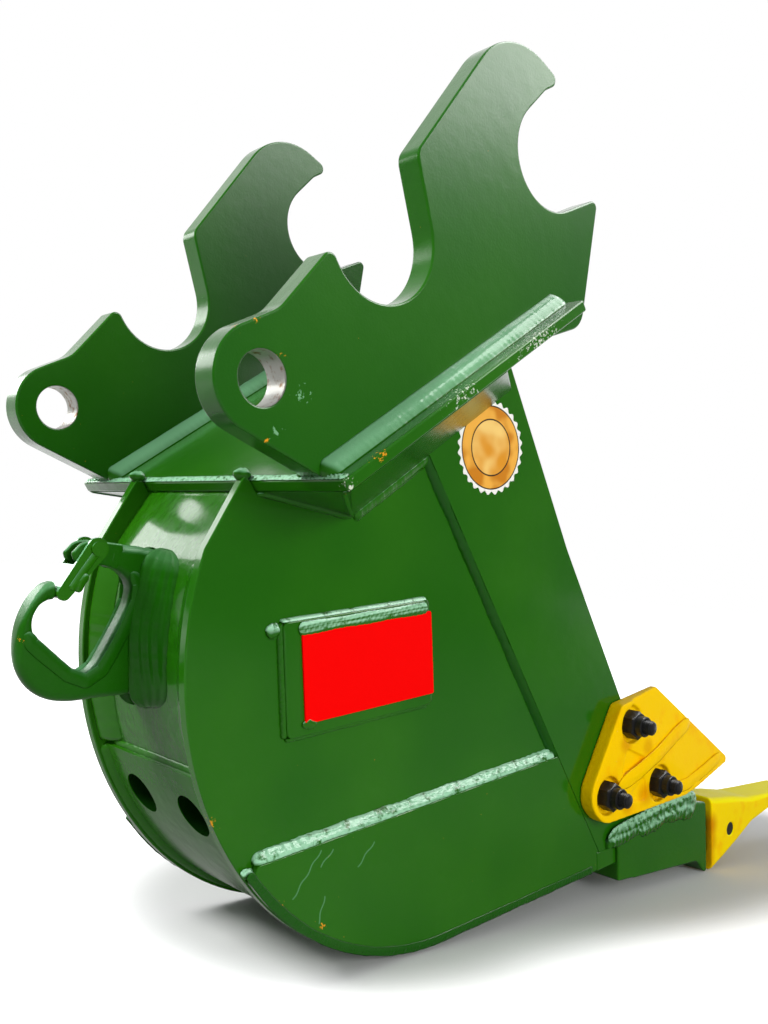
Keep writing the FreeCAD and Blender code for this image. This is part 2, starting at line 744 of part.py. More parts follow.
for name, side in SIDES.items():
    thickness = "sizes.cutter_thickness"
    cutter = plate(f"cutter_blank_{name}", side, CUTTER_OUTLINE, BAR_FACE, thickness, blank=True)
    holes = [ring for x, z in CUTTER_BOLTS for ring in circle(x, z, bolt_hole)]
    cut_through(cutter, sketch(cutter, "XZ_Plane", holes))
    face = f"{-side} * ({BAR_FACE} + sizes.cutter_thickness)"
    seats = [ring for x, z in CUTTER_BOLTS for ring in circle(x, z, size.cutter_pocket_diameter / 2)]
    pocket(cutter, sketch(cutter, "XZ_Plane", seats, face), "sizes.cutter_pocket_depth", reverse=side > 0)
    for recess in CUTTER_RECESSES:
        hollow = sketch(cutter, "XZ_Plane", outline(recess), face)
        pocket(cutter, hollow, "sizes.cutter_recess_depth", reverse=side > 0)
    # wedge that thins the blade towards its cutting edge
    first, last = (Vector(x, side * cutter_face, z) for x, z in (CUTTER_TOP, CUTTER_TIP))
    along = (last - first).normalize()
    inwards = along.cross(Vector(0, 1, 0))
    if inwards.z > 0:
        inwards = -inwards
    first = first - along * BEVEL_LEAD
    last = last + along * BEVEL_TRAIL
    drop = Vector(0, -side * (size.cutter_thickness - size.cutter_edge_thickness), 0)
    lift = Vector(0, side, 0)
    wedge_ends = []
    for end in (first, last):
        start = end - inwards * BEVEL_OUTSIDE
        corners = [start + drop, start + lift, end + inwards * size.cutter_bevel_width + lift]
        corners.append(end + inwards * size.cutter_bevel_width)
        wedge_ends.append(Part.makePolygon(corners + corners[:1]))
    wedge = doc.addObject("Part::Feature", f"cutter_wedge_{name}")
    wedge.Shape = Part.makeLoft(wedge_ends, True, True)
    bevelled = doc.addObject("Part::Cut", f"side_cutter_{name}")
    bevelled.Base = cutter
    bevelled.Tool = wedge
    keep(bevelled, f"side_cutter_{name}")

    bolts = []
    nuts = []
    seat_y = cutter_face - size.cutter_pocket_depth
    bar_inner = size.body_width / 2 - size.side_thickness
    outward = FreeCAD.Rotation(Vector(1, 0, 0), -90 * side)
    for index, (x, z) in enumerate(CUTTER_BOLTS):
        shank = doc.addObject("Part::Cylinder", f"shank_{name}_{index}")
        shank.setExpression("Radius", "sizes.bolt_diameter / 2")
        reach = f"({BAR_FACE} + sizes.cutter_thickness + sizes.bolt_projection) - ({BAR_INNER})"
        shank.setExpression("Height", reach)
        shank.Placement = FreeCAD.Placement(Vector(x, side * bar_inner, z), outward)
        head = doc.addObject("Part::Cylinder", f"head_{name}_{index}")
        head.setExpression("Radius", "sizes.bolt_head_diameter / 2")
        head.setExpression("Height", "sizes.bolt_head_height")
        head_y = side * (bar_inner - size.bolt_head_height)
        head.Placement = FreeCAD.Placement(Vector(x, head_y, z), outward)
        bolt = doc.addObject("Part::Fuse", f"bolt_{name}_{index}")
        bolt.Base = shank
        bolt.Tool = head
        bolts.append(bolt)
        hexagon = doc.addObject("Part::Prism", f"hexagon_{name}_{index}")
        hexagon.Polygon = 6
        hexagon.setExpression("Circumradius", "sizes.nut_flats / 2 / cos(30)")
        hexagon.setExpression("Height", "sizes.nut_height")
        hexagon.Placement = FreeCAD.Placement(Vector(x, side * seat_y, z), outward)
        collar = doc.addObject("Part::Cylinder", f"collar_{name}_{index}")
        collar.setExpression("Radius", "sizes.nut_collar_diameter / 2")
        collar.setExpression("Height", "sizes.nut_height + sizes.nut_collar_height")
        collar.Placement = hexagon.Placement
        nut_blank = doc.addObject("Part::Fuse", f"nut_blank_{name}_{index}")
        nut_blank.Base = hexagon
        nut_blank.Tool = collar
        thread = doc.addObject("Part::Cylinder", f"thread_{name}_{index}")
        thread.setExpression("Radius", "sizes.bolt_diameter / 2 + sizes.thread_clearance")
        thread.setExpression("Height", "sizes.nut_height + sizes.nut_collar_height")
        thread.Placement = hexagon.Placement
        nut = doc.addObject("Part::Cut", f"nut_{name}_{index}")
        nut.Base = nut_blank
        nut.Tool = thread
        nuts.append(nut)
    for kind, group in (("bolts", bolts), ("nuts", nuts)):
        gathered = doc.addObject("Part::Compound", f"cutter_{kind}_{name}")
        gathered.Links = group
        keep(gathered, f"cutter_{kind}_{name}")

# Lifting hook, latch, pin and spring

# Angles on the wrapper between which the hook's root sits
HOOK_ROOT = (165.2, 189.8)
hook_seat = size.back_radius - upper_outer
# the hook keeps its place behind the wrapper
WRAPPER_REAR = size.back_x - hook_seat
hook_outline = [
    (size.back_x, size.back_z, hook_seat, HOOK_ROOT[1], HOOK_ROOT[0]),
    (WRAPPER_REAR - 17, -123.5, 12),
    (WRAPPER_REAR - 59, -120.5, 8),
    (WRAPPER_REAR - 72.5, -128.5, 5),
    (WRAPPER_REAR - 64, -143.5, 5),
    (WRAPPER_REAR - 44, -139.0, 8),
    (WRAPPER_REAR - 13.5, -147.5, 15),
    (WRAPPER_REAR - 52.8, -230.0, 13),
    (WRAPPER_REAR - 99.5, -194.5, 12),
    (WRAPPER_REAR - 96.5, -168.8, 9),
    (WRAPPER_REAR - 83.5, -169.5, 1.5),
    (WRAPPER_REAR - 83.5, -156.5, 2),
    (WRAPPER_REAR - 89.5, -153.0, 3),
    (WRAPPER_REAR - 110.5, -192.0, 30),
    (WRAPPER_REAR - 105.5, -233.0, 28),
    (WRAPPER_REAR - 77, -249.0, 25),
    (WRAPPER_REAR - 37, -246.0, 20),
]
hook = body("lifting_hook")
pad(hook, sketch(hook, "XZ_Plane", outline(hook_outline)), "sizes.hook_thickness", midplane=True)
latch_at = (WRAPPER_REAR - size.latch_behind_wrapper, size.latch_z)
pin_bore = size.latch_pin_diameter / 2 + size.latch_pin_clearance
cut_through(hook, sketch(hook, "XZ_Plane", circle(*latch_at, pin_bore)))
slot = [
    (latch_at[0] + 3, size.latch_z + 9.5, 4),
    (latch_at[0] - 30, size.latch_z + 9.5),
    (latch_at[0] - 30, size.latch_z - 30),
    (latch_at[0] + 9.5, size.latch_z - 30),
    (latch_at[0] + 9.5, size.latch_z + 3, 4),
]
pocket(hook, sketch(hook, "XZ_Plane", outline(slot)), "sizes.hook_slot", midplane=True)

LATCH_TIP = (WRAPPER_REAR - 77.6, -163.5)
LATCH_EYE_RADIUS = 9
LATCH_TIP_RADIUS = 5.5
lean = math.degrees(math.atan2(LATCH_TIP[1] - size.latch_z, LATCH_TIP[0] - latch_at[0]))
span = math.hypot(LATCH_TIP[1] - size.latch_z, LATCH_TIP[0] - latch_at[0])
flank = math.degrees(math.acos((LATCH_EYE_RADIUS - LATCH_TIP_RADIUS) / span))


def latch_outline(eye_radius, tip_radius):
    """Outline of the latch round its eye and its tip, seen from the side."""
    return outline([
        latch_at + (eye_radius, lean + flank, lean + 360 - flank),
        LATCH_TIP + (tip_radius, lean - flank, lean + flank),
    ])


latch = body("hook_latch")
latch_inside = "sizes.hook_thickness + 2 * sizes.latch_side_gap"
latch_outside = f"{latch_inside} + 2 * sizes.latch_sheet"
cheeks = sketch(latch, "XZ_Plane", latch_outline(LATCH_EYE_RADIUS, LATCH_TIP_RADIUS))
pad(latch, cheeks, latch_outside, midplane=True)
axis = Vector(math.cos(math.radians(lean)), math.sin(math.radians(lean)))
across = Vector(axis.y, -axis.x)
eye = Vector(*latch_at)
# the latch is a channel whose web starts clear of the eye; reach is past the outline all round
web_start = 21
reach = 14
channel_corners = (
    (-reach, reach),
    (web_start, reach),
    (web_start, LATCH_TIP_RADIUS),
    (span + reach, 0),
    (span + reach, -reach),
    (-reach, -reach),
)
channel_points = []
for forward, sideways in channel_corners:
    point = eye + axis * forward + across * sideways
    channel_points.append((point.x, point.y))
channel = sketch(latch, "XZ_Plane", outline(channel_points))
pocket(latch, channel, latch_inside, midplane=True)
cut_through(latch, sketch(latch, "XZ_Plane", circle(*latch_at, pin_bore)))

latch_pin = body("latch_pin")
pin_edges = circle(*latch_at, size.latch_pin_diameter / 2)
pad(latch_pin, sketch(latch_pin, "XZ_Plane", pin_edges), f"{latch_outside} + 2", midplane=True)
head_edges = circle(*latch_at, size.latch_pin_head_radius)
head_middle = f"({latch_outside}) / 2 + sizes.latch_pin_head_height / 2 + sizes.latch_side_gap"
for end in (1, -1):
    rim = sketch(latch_pin, "XZ_Plane", head_edges, f"{end} * ({head_middle})")
    pad(latch_pin, rim, "sizes.latch_pin_head_height", midplane=True)

coil_radius = size.latch_pin_diameter / 2 + size.spring_wire / 2 + size.latch_side_gap
coil_length = size.hook_slot - 2
pitch = (coil_length - size.spring_wire) / size.spring_coils
helix = Part.makeHelix(pitch, pitch * size.spring_coils, coil_radius)
start = Vector(coil_radius, 0, 0)
wire_section = Part.Wire(Part.makeCircle(size.spring_wire / 2, start, Vector(0, 1, 0)))
spring = doc.addObject("Part::Feature", "latch_spring")
spring.Shape = Part.Wire(helix).makePipeShell([wire_section], True, True)
coil_start = Vector(latch_at[0], pitch * size.spring_coils / 2, size.latch_z)
spring.Placement = FreeCAD.Placement(coil_start, FreeCAD.Rotation(Vector(1, 0, 0), 90))
keep(spring, "latch_spring")

# Name plate, left bare

plate_frame = turned(size.plate_x, size.plate_z, size.plate_tilt)
wall = "sizes.body_width / 2"


def panel(length, height, radius, shift):
    """Rounded panel outline about the name plate's centre."""
    return [
        (shift - length / 2, -height / 2, radius),
        (shift + length / 2, -height / 2, radius),
        (shift + length / 2, height / 2, radius),
        (shift - length / 2, height / 2, radius),
    ]


backing = panel(size.plate_back_length, size.plate_back_height, 6, 0)
plate("name_plate_backing", -1, backing, wall, "sizes.plate_back_thickness", plate_frame)
front = panel(size.plate_face_length, size.plate_face_height, 2, size.plate_face_shift)
front_inner = f"{wall} + sizes.plate_back_thickness"
plate("name_plate", -1, front, front_inner, "sizes.plate_face_thickness", plate_frame)

# Check every object, then write each piece to its own file

doc.recompute()
for item in doc.Objects:
    if "Invalid" in item.State or "Error" in item.State:
        raise RuntimeError(f"{item.Name} ({item.Label}) failed: {item.State}")
for piece in nodes:
    if piece.Shape.isNull() or not piece.Shape.isValid():
        raise RuntimeError(f"{piece.Label} has no valid shape")

os.makedirs("parts", exist_ok=True)
for piece in nodes:
    piece.Shape.exportStep(f"parts/{piece.Label}.step")
    print(f"{piece.Label}: {len(piece.Shape.Solids)} solids, {piece.Shape.Volume / 1000:.1f} cm3")
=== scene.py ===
"""Looks of the trenching bucket: enamel, weld beads, castings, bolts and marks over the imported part.

Lengths are in millimetres until a mesh is made. X points forward to the teeth, Y to the left, Z up.
"""

import math

import bmesh
import bpy
import numpy as np
from mathutils import Matrix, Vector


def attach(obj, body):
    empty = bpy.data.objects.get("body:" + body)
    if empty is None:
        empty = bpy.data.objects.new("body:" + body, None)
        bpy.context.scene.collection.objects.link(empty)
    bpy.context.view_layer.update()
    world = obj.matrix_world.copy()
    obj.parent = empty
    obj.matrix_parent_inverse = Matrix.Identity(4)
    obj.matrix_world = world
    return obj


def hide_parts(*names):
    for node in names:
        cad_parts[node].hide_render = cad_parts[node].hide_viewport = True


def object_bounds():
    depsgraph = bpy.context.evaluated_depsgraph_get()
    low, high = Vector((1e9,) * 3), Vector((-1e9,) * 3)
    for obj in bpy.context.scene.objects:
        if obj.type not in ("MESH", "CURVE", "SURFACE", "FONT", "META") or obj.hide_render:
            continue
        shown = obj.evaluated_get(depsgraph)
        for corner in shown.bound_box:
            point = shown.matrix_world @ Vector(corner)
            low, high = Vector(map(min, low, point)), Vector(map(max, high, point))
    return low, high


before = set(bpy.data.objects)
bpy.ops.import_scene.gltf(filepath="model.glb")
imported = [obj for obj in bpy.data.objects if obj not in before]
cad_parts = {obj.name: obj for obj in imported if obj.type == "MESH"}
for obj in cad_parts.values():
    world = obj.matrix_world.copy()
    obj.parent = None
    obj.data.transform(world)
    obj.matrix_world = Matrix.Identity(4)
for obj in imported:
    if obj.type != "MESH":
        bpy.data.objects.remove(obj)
cad_low, cad_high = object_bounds()

MM = 0.001
BUCKET = "bucket"
LATCH = "latch"
SIDES = (("left", 1), ("right", -1))
ACROSS = np.array((0.0, 1.0, 0.0))

# Places shared with the part: the bracket's base plate, the bucket's back and heel, its floor

BASE_REAR = np.array((55.7, 0.0, -65.9))
BASE_SLOPE = math.radians(35.8)
ALONG_BASE = np.array((math.cos(BASE_SLOPE), 0.0, math.sin(BASE_SLOPE)))
UP_FROM_BASE = np.array((-math.sin(BASE_SLOPE), 0.0, math.cos(BASE_SLOPE)))
BASE_HALF_WIDTH = 209
EAR_OUTER, EAR_INNER = 180, 155
FLARE_TOP, FLARE_FOOT = 10, 79
REAR_FLARE_SWEEP = 74
BACK = np.array((294.6, 0.0, -196.5))
BACK_RADIUS = 286.6
HEEL = np.array((270.04, 0.0, -221.58))
HEEL_RADIUS = 251.5
BLEND_ANGLE = 225.6
SEAM_ANGLE = 202.3
UPPER_DEPTH, LOWER_DEPTH = 14, 8
FLOOR_START = np.array((300.7, 0.0, -471.15))
FLOOR_SLOPE = math.radians(7)
ALONG_FLOOR = np.array((math.cos(FLOOR_SLOPE), 0.0, math.sin(FLOOR_SLOPE)))
UP_FROM_FLOOR = np.array((-math.sin(FLOOR_SLOPE), 0.0, math.cos(FLOOR_SLOPE)))
PLATE_INNER, PLATE_OUTER, BAR_OUTER = 82, 92, 100
BOLTS = ((560.0, -284.0), (523.0, -357.5), (618.0, -353.0))
BORE_RADIUS = 20
DRAIN_WALLS = ((62.4, -43, -336.6), (62.4, 43, -336.6))
SEAL_CENTRE = (321.6, -BAR_OUTER, -7.7)


def on_base(along, down, y):
    """Point beside the base plate: along it from its rear edge, down from its top, and across."""
    return BASE_REAR + along * ALONG_BASE - down * UP_FROM_BASE + y * ACROSS


def on_floor(along, up, y):
    """Point above the floor line, forward along it from the heel, and across."""
    return FLOOR_START + along * ALONG_FLOOR + up * UP_FROM_FLOOR + y * ACROSS


def on_shell(angles, depth, y):
    """Points of the back and heel arcs at a depth inside the rim, for angles in degrees."""
    turn = np.radians(angles)[:, None]
    ray = np.hstack((np.cos(turn), 0 * turn, np.sin(turn)))
    back = BACK + (BACK_RADIUS - depth) * ray
    heel = HEEL + (HEEL_RADIUS - depth) * ray
    return np.where(np.degrees(turn) < BLEND_ANGLE, back, heel) + y * ACROSS


def unit(vectors):
    """The same directions with length one, for one vector or a list of them."""
    vectors = np.asarray(vectors, float)
    return vectors / np.linalg.norm(vectors, axis=-1, keepdims=True)


# Meshes

MERGE_GAP, CAD_MERGE_GAP = 1e-6, 2e-6  # metres
FLAT_ANGLE = math.radians(0.4)
EDGE_ANGLE = math.radians(32)
BAR_ENDS = ((0.86, 1.2), (0.55, 2.2), (0.0, 2.6))  # share of the section, and its push outwards


def finished(name, mesh, finish, body, stands_for=()):
    """Object at the origin with its finish, riding on a body and standing for CAD nodes."""
    mesh.materials.clear()
    mesh.materials.append(finish)
    piece = bpy.data.objects.new(name, mesh)
    bpy.context.scene.collection.objects.link(piece)
    if stands_for:
        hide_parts(*stands_for)
    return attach(piece, body)


def smooth(mesh, sharp=None):
    """Shade a mesh smooth, but for the edges past an angle."""
    mesh.polygons.foreach_set("use_smooth", np.ones(len(mesh.polygons), bool))
    if sharp is not None:
        mesh.set_sharp_from_angle(angle=sharp)


def surface(name, grid, finish, body=BUCKET, sharp=None):
    """Mesh of a grid of points, rows along the piece and columns round it.

    Rows that shrink to a point become poles, and the faces are turned outwards.
    """
    rows, columns = grid.shape[:2]
    index = np.arange(rows * columns).reshape(rows, columns)
    index = np.hstack((index, index[:, :1]))
    corners = np.stack((index[:-1, :-1], index[1:, :-1], index[1:, 1:], index[:-1, 1:]), axis=-1)
    mesh = bpy.data.meshes.new(name)
    mesh.from_pydata((grid.reshape(-1, 3) * MM).tolist(), [], corners.reshape(-1, 4).tolist())
    form = bmesh.new()
    form.from_mesh(mesh)
    bmesh.ops.remove_doubles(form, verts=form.verts, dist=MERGE_GAP)
    bmesh.ops.recalc_face_normals(form, faces=form.faces)
    form.to_mesh(mesh)
    form.free()
    smooth(mesh, sharp)
    return finished(name, mesh, finish, body)


def merged(node):
    """Copy of a CAD node's mesh with its doubles merged and its flat faces joined."""
    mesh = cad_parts[node].data.copy()
    form = bmesh.new()
    form.from_mesh(mesh)
    bmesh.ops.remove_doubles(form, verts=form.verts, dist=CAD_MERGE_GAP)
    bmesh.ops.dissolve_limit(form, angle_limit=FLAT_ANGLE, verts=form.verts, edges=form.edges)
    form.to_mesh(mesh)
    form.free()
    mesh.name = node + "_plate"
    return mesh


def plate(node, finish, rounding, body=BUCKET):
    """A plate of the part whose edges are rounded by the thickness of its paint."""
    mesh = merged(node)
    smooth(mesh, EDGE_ANGLE)
    piece = finished(node + "_painted", mesh, finish, body, (node,))
    bevel = piece.modifiers.new("paint edge", "BEVEL")
    bevel.width = rounding * MM
    bevel.segments = 3
    bevel.limit_method = "ANGLE"
    bevel.angle_limit = EDGE_ANGLE
    bevel.harden_normals = True


def casting(node, finish, grain, rounds):
    """A cast or forged piece of the part: a fine even skin over its solid, its corners eased."""
    mesh = merged(node)
    blank = bpy.data.objects.new(node + "_blank", mesh)
    bpy.context.scene.collection.objects.link(blank)
    skin = blank.modifiers.new("skin", "REMESH")
    skin.mode = "VOXEL"
    skin.voxel_size = grain * MM
    ease = blank.modifiers.new("ease", "SMOOTH")
    ease.factor = 0.5
    ease.iterations = rounds
    shape = blank.evaluated_get(bpy.context.evaluated_depsgraph_get())
    cast = bpy.data.meshes.new_from_object(shape)
    bpy.data.objects.remove(blank)
    smooth(cast)
    finished(node + "_cast", cast, finish, BUCKET, (node,))


def between_edges(name, first_edge, second_edge, middle, half, radii, finish, sections=150):
    """Forged bar between two edge curves in the plane of a side view.

    Both curves are smooth lines through the given (x, z) pairs. At each step the section is a
    rounded rectangle from one curve to the other: its corners are quarter circles of one radius at
    the first curve and of another at the second, and its thickness is even about a middle plane.
    Three shrinking sections close each end.
    """
    knots = np.arange(len(first_edge))
    steps = np.linspace(0, len(first_edge) - 1, sections)
    first = smooth_line(knots, np.asarray(first_edge, float), steps)
    second = smooth_line(knots, np.asarray(second_edge, float), steps)
    centre = (first + second) / 2
    wide = np.linalg.norm(first - second, axis=1)[:, None] / 2
    way = (first - second) / (2 * wide)
    quarter = np.radians(np.linspace(0, 90, 7))[None, :]
    rows = []
    for radius, direction in ((radii[0], 1), (radii[1], -1)):
        round_off = np.minimum(radius, 0.95 * np.minimum(wide, half))
        out = wide - round_off + round_off * np.cos(quarter)
        aside = half - round_off + round_off * np.sin(quarter)
        rows.append((direction * out, direction * aside))
        rows.append((direction * out[:, ::-1], -direction * aside[:, ::-1]))
    order = (rows[1], rows[0], rows[3], rows[2])
    reach = np.concatenate([row[0] for row in order], axis=1)
    aside = np.concatenate([row[1] for row in order], axis=1)
    x = centre[:, :1] + reach * way[:, :1]
    z = centre[:, 1:] + reach * way[:, 1:]
    grid = np.stack((x, middle + aside, z), axis=-1)
    for end, neighbour in ((0, 1), (-1, -2)):
        heart = grid[end].mean(axis=0)
        ahead = unit(heart - grid[neighbour].mean(axis=0))
        caps = [heart + (grid[end] - heart) * share + ahead * push for share, push in BAR_ENDS]
        grid = np.concatenate((caps[::-1], grid)) if end == 0 else np.concatenate((grid, caps))
    return surface(name, grid, finish)


def smooth_line(knots, values, steps):
    """Smooth curve through values at whole-number knots: between two, a cubic whose slopes there
    are half the difference of the values on either side."""
    padded = np.vstack((2 * values[0] - values[1], values, 2 * values[-1] - values[-2]))
    index = np.clip(steps.astype(int), 0, len(knots) - 2)
    share = (steps - index)[:, None]
    before, start, end, after = (padded[index + offset] for offset in range(4))
    return 0.5 * (
        2 * start + (end - before) * share
        + (2 * before - 5 * start + 4 * end - after) * share**2
        + (3 * start - before - 3 * end + after) * share**3
    )


def dab(name, centre, radii, finish, seed):
    """Weld blob: a ball stretched along X, Y and Z, swollen by uneven waves of its angles."""
    down = np.linspace(0, np.pi, 17)[:, None]
    around = np.linspace(0, 2 * np.pi, 28, endpoint=False)[None, :]
    swell = 1 + 0.13 * np.sin(3 * around + seed) * np.sin(2 * down + seed)
    swell = swell + 0.06 * np.sin(5 * around - 2 * seed)
    swell = np.where(np.sin(down) < 1e-6, 1, swell)
    x, y = np.sin(down) * np.cos(around), np.sin(down) * np.sin(around)
    ball = np.stack((x, y, np.cos(down) + 0 * around), axis=-1)
    surface(name, ball * swell[..., None] * radii + centre, finish)


# Weld beads

WELD_STEP = 0.9
WELD_SINK = 0.4


def evenly(path):
    """A line through the given corners, with a point at every weld step, and their places on it."""
    path = np.asarray(path, float)
    lengths = np.concatenate(([0], np.cumsum(np.linalg.norm(np.diff(path, axis=0), axis=1))))
    places = np.linspace(0, lengths[-1], max(4, int(lengths[-1] / WELD_STEP)))
    line = np.stack([np.interp(places, lengths, path[:, axis]) for axis in range(3)], axis=1)
    return line, places


def beside(line):
    """Direction square to a line that lies in the XZ plane, to its right as seen from -y."""
    way = np.gradient(line, axis=0)
    return unit(np.stack((way[:, 2], 0 * way[:, 0], -way[:, 0]), axis=1))


def wander(places, seed, size):
    """Slow uneven wave between -1 and 1: the mean of four sines with seeded lengths and starts."""
    chance = np.random.default_rng(seed)
    lengths = size * chance.uniform(0.6, 1.9, 4)
    starts = chance.uniform(0, 2 * np.pi, 4)
    return np.sin(2 * np.pi * places[..., None] / lengths + starts).mean(axis=-1)


def weld(
    name, path, first, second, legs, finish,
    bulge=0.14, ripple=0.1, pitch=3.6, uneven=1.0, seed=1, passes=1, rough=0.0, taper=0.8,
    body=BUCKET,
):
    """Weld bead carried along a path: a rounded hump between two legs.

    Across the bead the line from one leg to the other is lifted by a half sine, and by a smaller
    one for each pass; along it, curved ripples follow the sine of the length. The legs wander a
    little, the ends close like a dome, and the back of the bead is sunk into the joint. A rough
    bead is lifted further by the mean of six sines of its length and breadth.
    """
    line, places = evenly(path)
    count = len(line)
    first = unit(np.broadcast_to(first, (count, 3)))[:, None, :]
    second = unit(np.broadcast_to(second, (count, 3)))[:, None, :]
    share = np.linspace(0, 1, 13 + 6 * (passes - 1))[None, :, None]
    along = places[:, None, None]
    out = unit(first + second)
    slow = 0.09 * wander(places, seed, 45) + 0.04 * wander(places, seed + 7, 9)
    slow = 1 + uneven * slow[:, None, None]
    size = math.hypot(*legs)
    chevron = along + 0.5 * size * share * (1 - share)
    wave = np.sin(2 * np.pi * chevron / pitch + 2 * wander(places, seed + 3, 30)[:, None, None])
    hump = np.sin(np.pi * share)
    sway = share + 0.12 * wander(places, seed + 5, 60)[:, None, None] * hump
    tall = 1 + 0.7 * wander(3 * share + along / 90, seed + 9, 1.2)
    humps = np.abs(np.sin(np.pi * passes * sway)) * tall if passes > 1 else 0 * share
    if rough:
        chance = np.random.default_rng(seed + 11)
        turns = along / (size * chance.uniform(0.25, 0.9, 6)) + share * chance.uniform(-2.5, 2.5, 6)
        starts = chance.uniform(0, 1, 6)
        lumps = np.sin(2 * np.pi * (turns + starts)).mean(axis=-1)[:, :, None]
        wave = wave + rough * lumps / max(ripple, 0.01)
    reach = min(taper * min(legs), 0.4 * places[-1])
    near = np.minimum(places, places[-1] - places)
    close = np.sqrt(1 - (1 - np.minimum(near, reach) / reach) ** 2)[:, None, None]
    face = (legs[0] * (1 - share) * first + legs[1] * share * second) * slow
    face = face + out * hump * (bulge * size * slow + ripple * wave)
    face = face + out * humps * 0.09 * size / passes
    back = np.broadcast_to(-2 * WELD_SINK * out, (count, 1, 3))
    section = np.concatenate((face - WELD_SINK * out * (1 - hump), back), axis=1)
    return surface(name, line[:, None, :] + section * close, finish, body=body)


def ridge(name, path, side, lift, width, finish, **more):
    """Bead laid on a flat surface: its two legs lie on either side of the path."""
    side, rise = unit(side), 0.2 * lift
    weld(name, path, side + rise, rise - side, (width / 2, width / 2), finish, **more)


# Materials


class Value:
    """Output of a shader node that can stand in a Python expression; each sum adds a Math node."""

    def __init__(self, recipe, socket):
        self.recipe = recipe
        self.socket = socket

    def math(self, operation, *terms):
        return self.recipe.add("Math", {"operation": operation}, dict(enumerate(terms)))

    def __add__(self, other):
        return self.math("ADD", self, other)

    def __radd__(self, other):
        return self.math("ADD", other, self)

    def __sub__(self, other):
        return self.math("SUBTRACT", self, other)

    def __rsub__(self, other):
        return self.math("SUBTRACT", other, self)

    def __mul__(self, other):
        return self.math("MULTIPLY", self, other)

    def __rmul__(self, other):
        return self.math("MULTIPLY", other, self)

    def __abs__(self):
        return self.math("ABSOLUTE", self)

    def sine(self):
        return self.math("SINE", self)

    def highest(self, other):
        return self.math("MAXIMUM", self, other)

    def lowest(self, other):
        return self.math("MINIMUM", self, other)

    def between(self, low, high):
        """0 below low, 1 above high, and a smooth step between them."""
        settings = {"interpolation_type": "SMOOTHSTEP"}
        return self.recipe.add("MapRange", settings, {0: self, 1: low, 2: high, 3: 0.0, 4: 1.0})


class Recipe:
    """Node tree of one material or of the world."""

    def __init__(self, owner):
        owner.use_nodes = True
        self.tree = owner.node_tree
        self.tree.nodes.clear()

    def add(self, kind, settings=None, values=None, output=0):
        """One node: its type, then its settings, then the values or links of its sockets."""
        node = self.tree.nodes.new("ShaderNode" + kind)
        for key, setting in (settings or {}).items():
            setattr(node, key, setting)
        for key, value in (values or {}).items():
            if isinstance(value, Value):
                self.tree.links.new(value.socket, node.inputs[key])
            else:
                node.inputs[key].default_value = value
        return Value(self, node.outputs[output]) if len(node.outputs) else None

    def split(self, vector):
        """The three numbers of a vector."""
        parts = self.add("SeparateXYZ", None, {0: vector})
        return [Value(self, socket) for socket in parts.socket.node.outputs]

    def mix(self, share, first, second):
        """One colour turning into another as the share goes from 0 to 1."""
        return self.add("Mix", {"data_type": "RGBA"}, {0: share, 6: first, 7: second}, output=2)

    def place(self):
        """Place on the object in millimetres, as one vector and as three numbers."""
        spot = self.add("TexCoord", output=3)
        spot = self.add("VectorMath", {"operation": "SCALE"}, {0: spot, 3: 1000.0})
        return spot, *self.split(spot)

    def gap(self, spot, centre):
        """Distance from a centre."""
        return self.add("VectorMath", {"operation": "DISTANCE"}, {0: spot, 1: centre}, output=1)

    def near(self, spot, centre, radius):
        """1 at a centre, falling to 0 at a radius."""
        gap = self.gap(spot, centre)
        return self.add("MapRange", None, {0: gap, 1: 0.0, 2: radius, 3: 1.0, 4: 0.0})

    def cloud(self, spot, size, detail=2.0, roughness=0.5):
        """Noise between 0 and 1 with blotches of about the given size."""
        values = {"Vector": spot, "Scale": 1 / size, "Detail": detail, "Roughness": roughness}
        return self.add("TexNoise", None, values)

    def upward(self):
        """How far the surface faces up: the height of its normal."""
        return self.split(self.add("NewGeometry", output="Normal"))[2]

    def shown(self, reflected):
        """1 for rays from the camera or through glass, and the given share for reflected ones."""
        camera, glass, gloss = (
            self.add("LightPath", output=ray)
            for ray in ("Is Camera Ray", "Is Transmission Ray", "Is Glossy Ray")
        )
        return camera.highest(gloss * reflected).highest(glass)

    def bump(self, height):
        """Normal that follows a height in millimetres."""
        return self.add("Bump", None, {"Height": height, "Distance": MM, "Strength": 1.0})

    def finish(self, values):
        """The surface of the material."""
        self.add("OutputMaterial", None, {0: self.add("BsdfPrincipled", None, values)})


def colour(red, green, blue):
    """A colour written as the screen shows it, from 0 to 255, as the shader needs it."""
    parts = np.array((red, green, blue)) / 255
    linear = np.where(parts <= 0.04045, parts / 12.92, ((parts + 0.055) / 1.055) ** 2.4)
    return (*linear.tolist(), 1.0)


def material(name, look):
    """New material, with its nodes to be filled in."""
    made = bpy.data.materials.new(name)
    made.diffuse_color = (*look, 1)
    return made, Recipe(made)


BLACK, WHITE = (0.0, 0.0, 0.0, 1), (1, 1, 1, 1)
GREEN = colour(40, 105, 10)
GREEN_DEEP = colour(29, 94, 7)
GREEN_PALE = colour(52, 118, 30)
# Pale green of dust and wear, which also stands for a painted sky sheen on faces that turn up.
GREEN_DUST_WEAR_AND_SHEEN = colour(120, 180, 134)
# Painted shade: the deep green that whole surfaces are darkened toward.
GREEN_PAINTED_SHADE = colour(8, 70, 4)
# Painted shade inside the drain holes.
GREEN_DRAIN_PAINTED_SHADE = colour(4, 26, 4)
CHIP_ORANGE = colour(222, 150, 34)
CHIP_WHITE = colour(206, 216, 196)
STEEL = colour(178, 178, 172)
STEEL_RUSTY = colour(120, 84, 44)
# Painted shade in orange for the yellow castings.
YELLOW_PAINTED_SHADE = colour(206, 112, 0)
YELLOW_DUSTY = colour(250, 236, 170)
SEAL_LINE = colour(48, 34, 20)


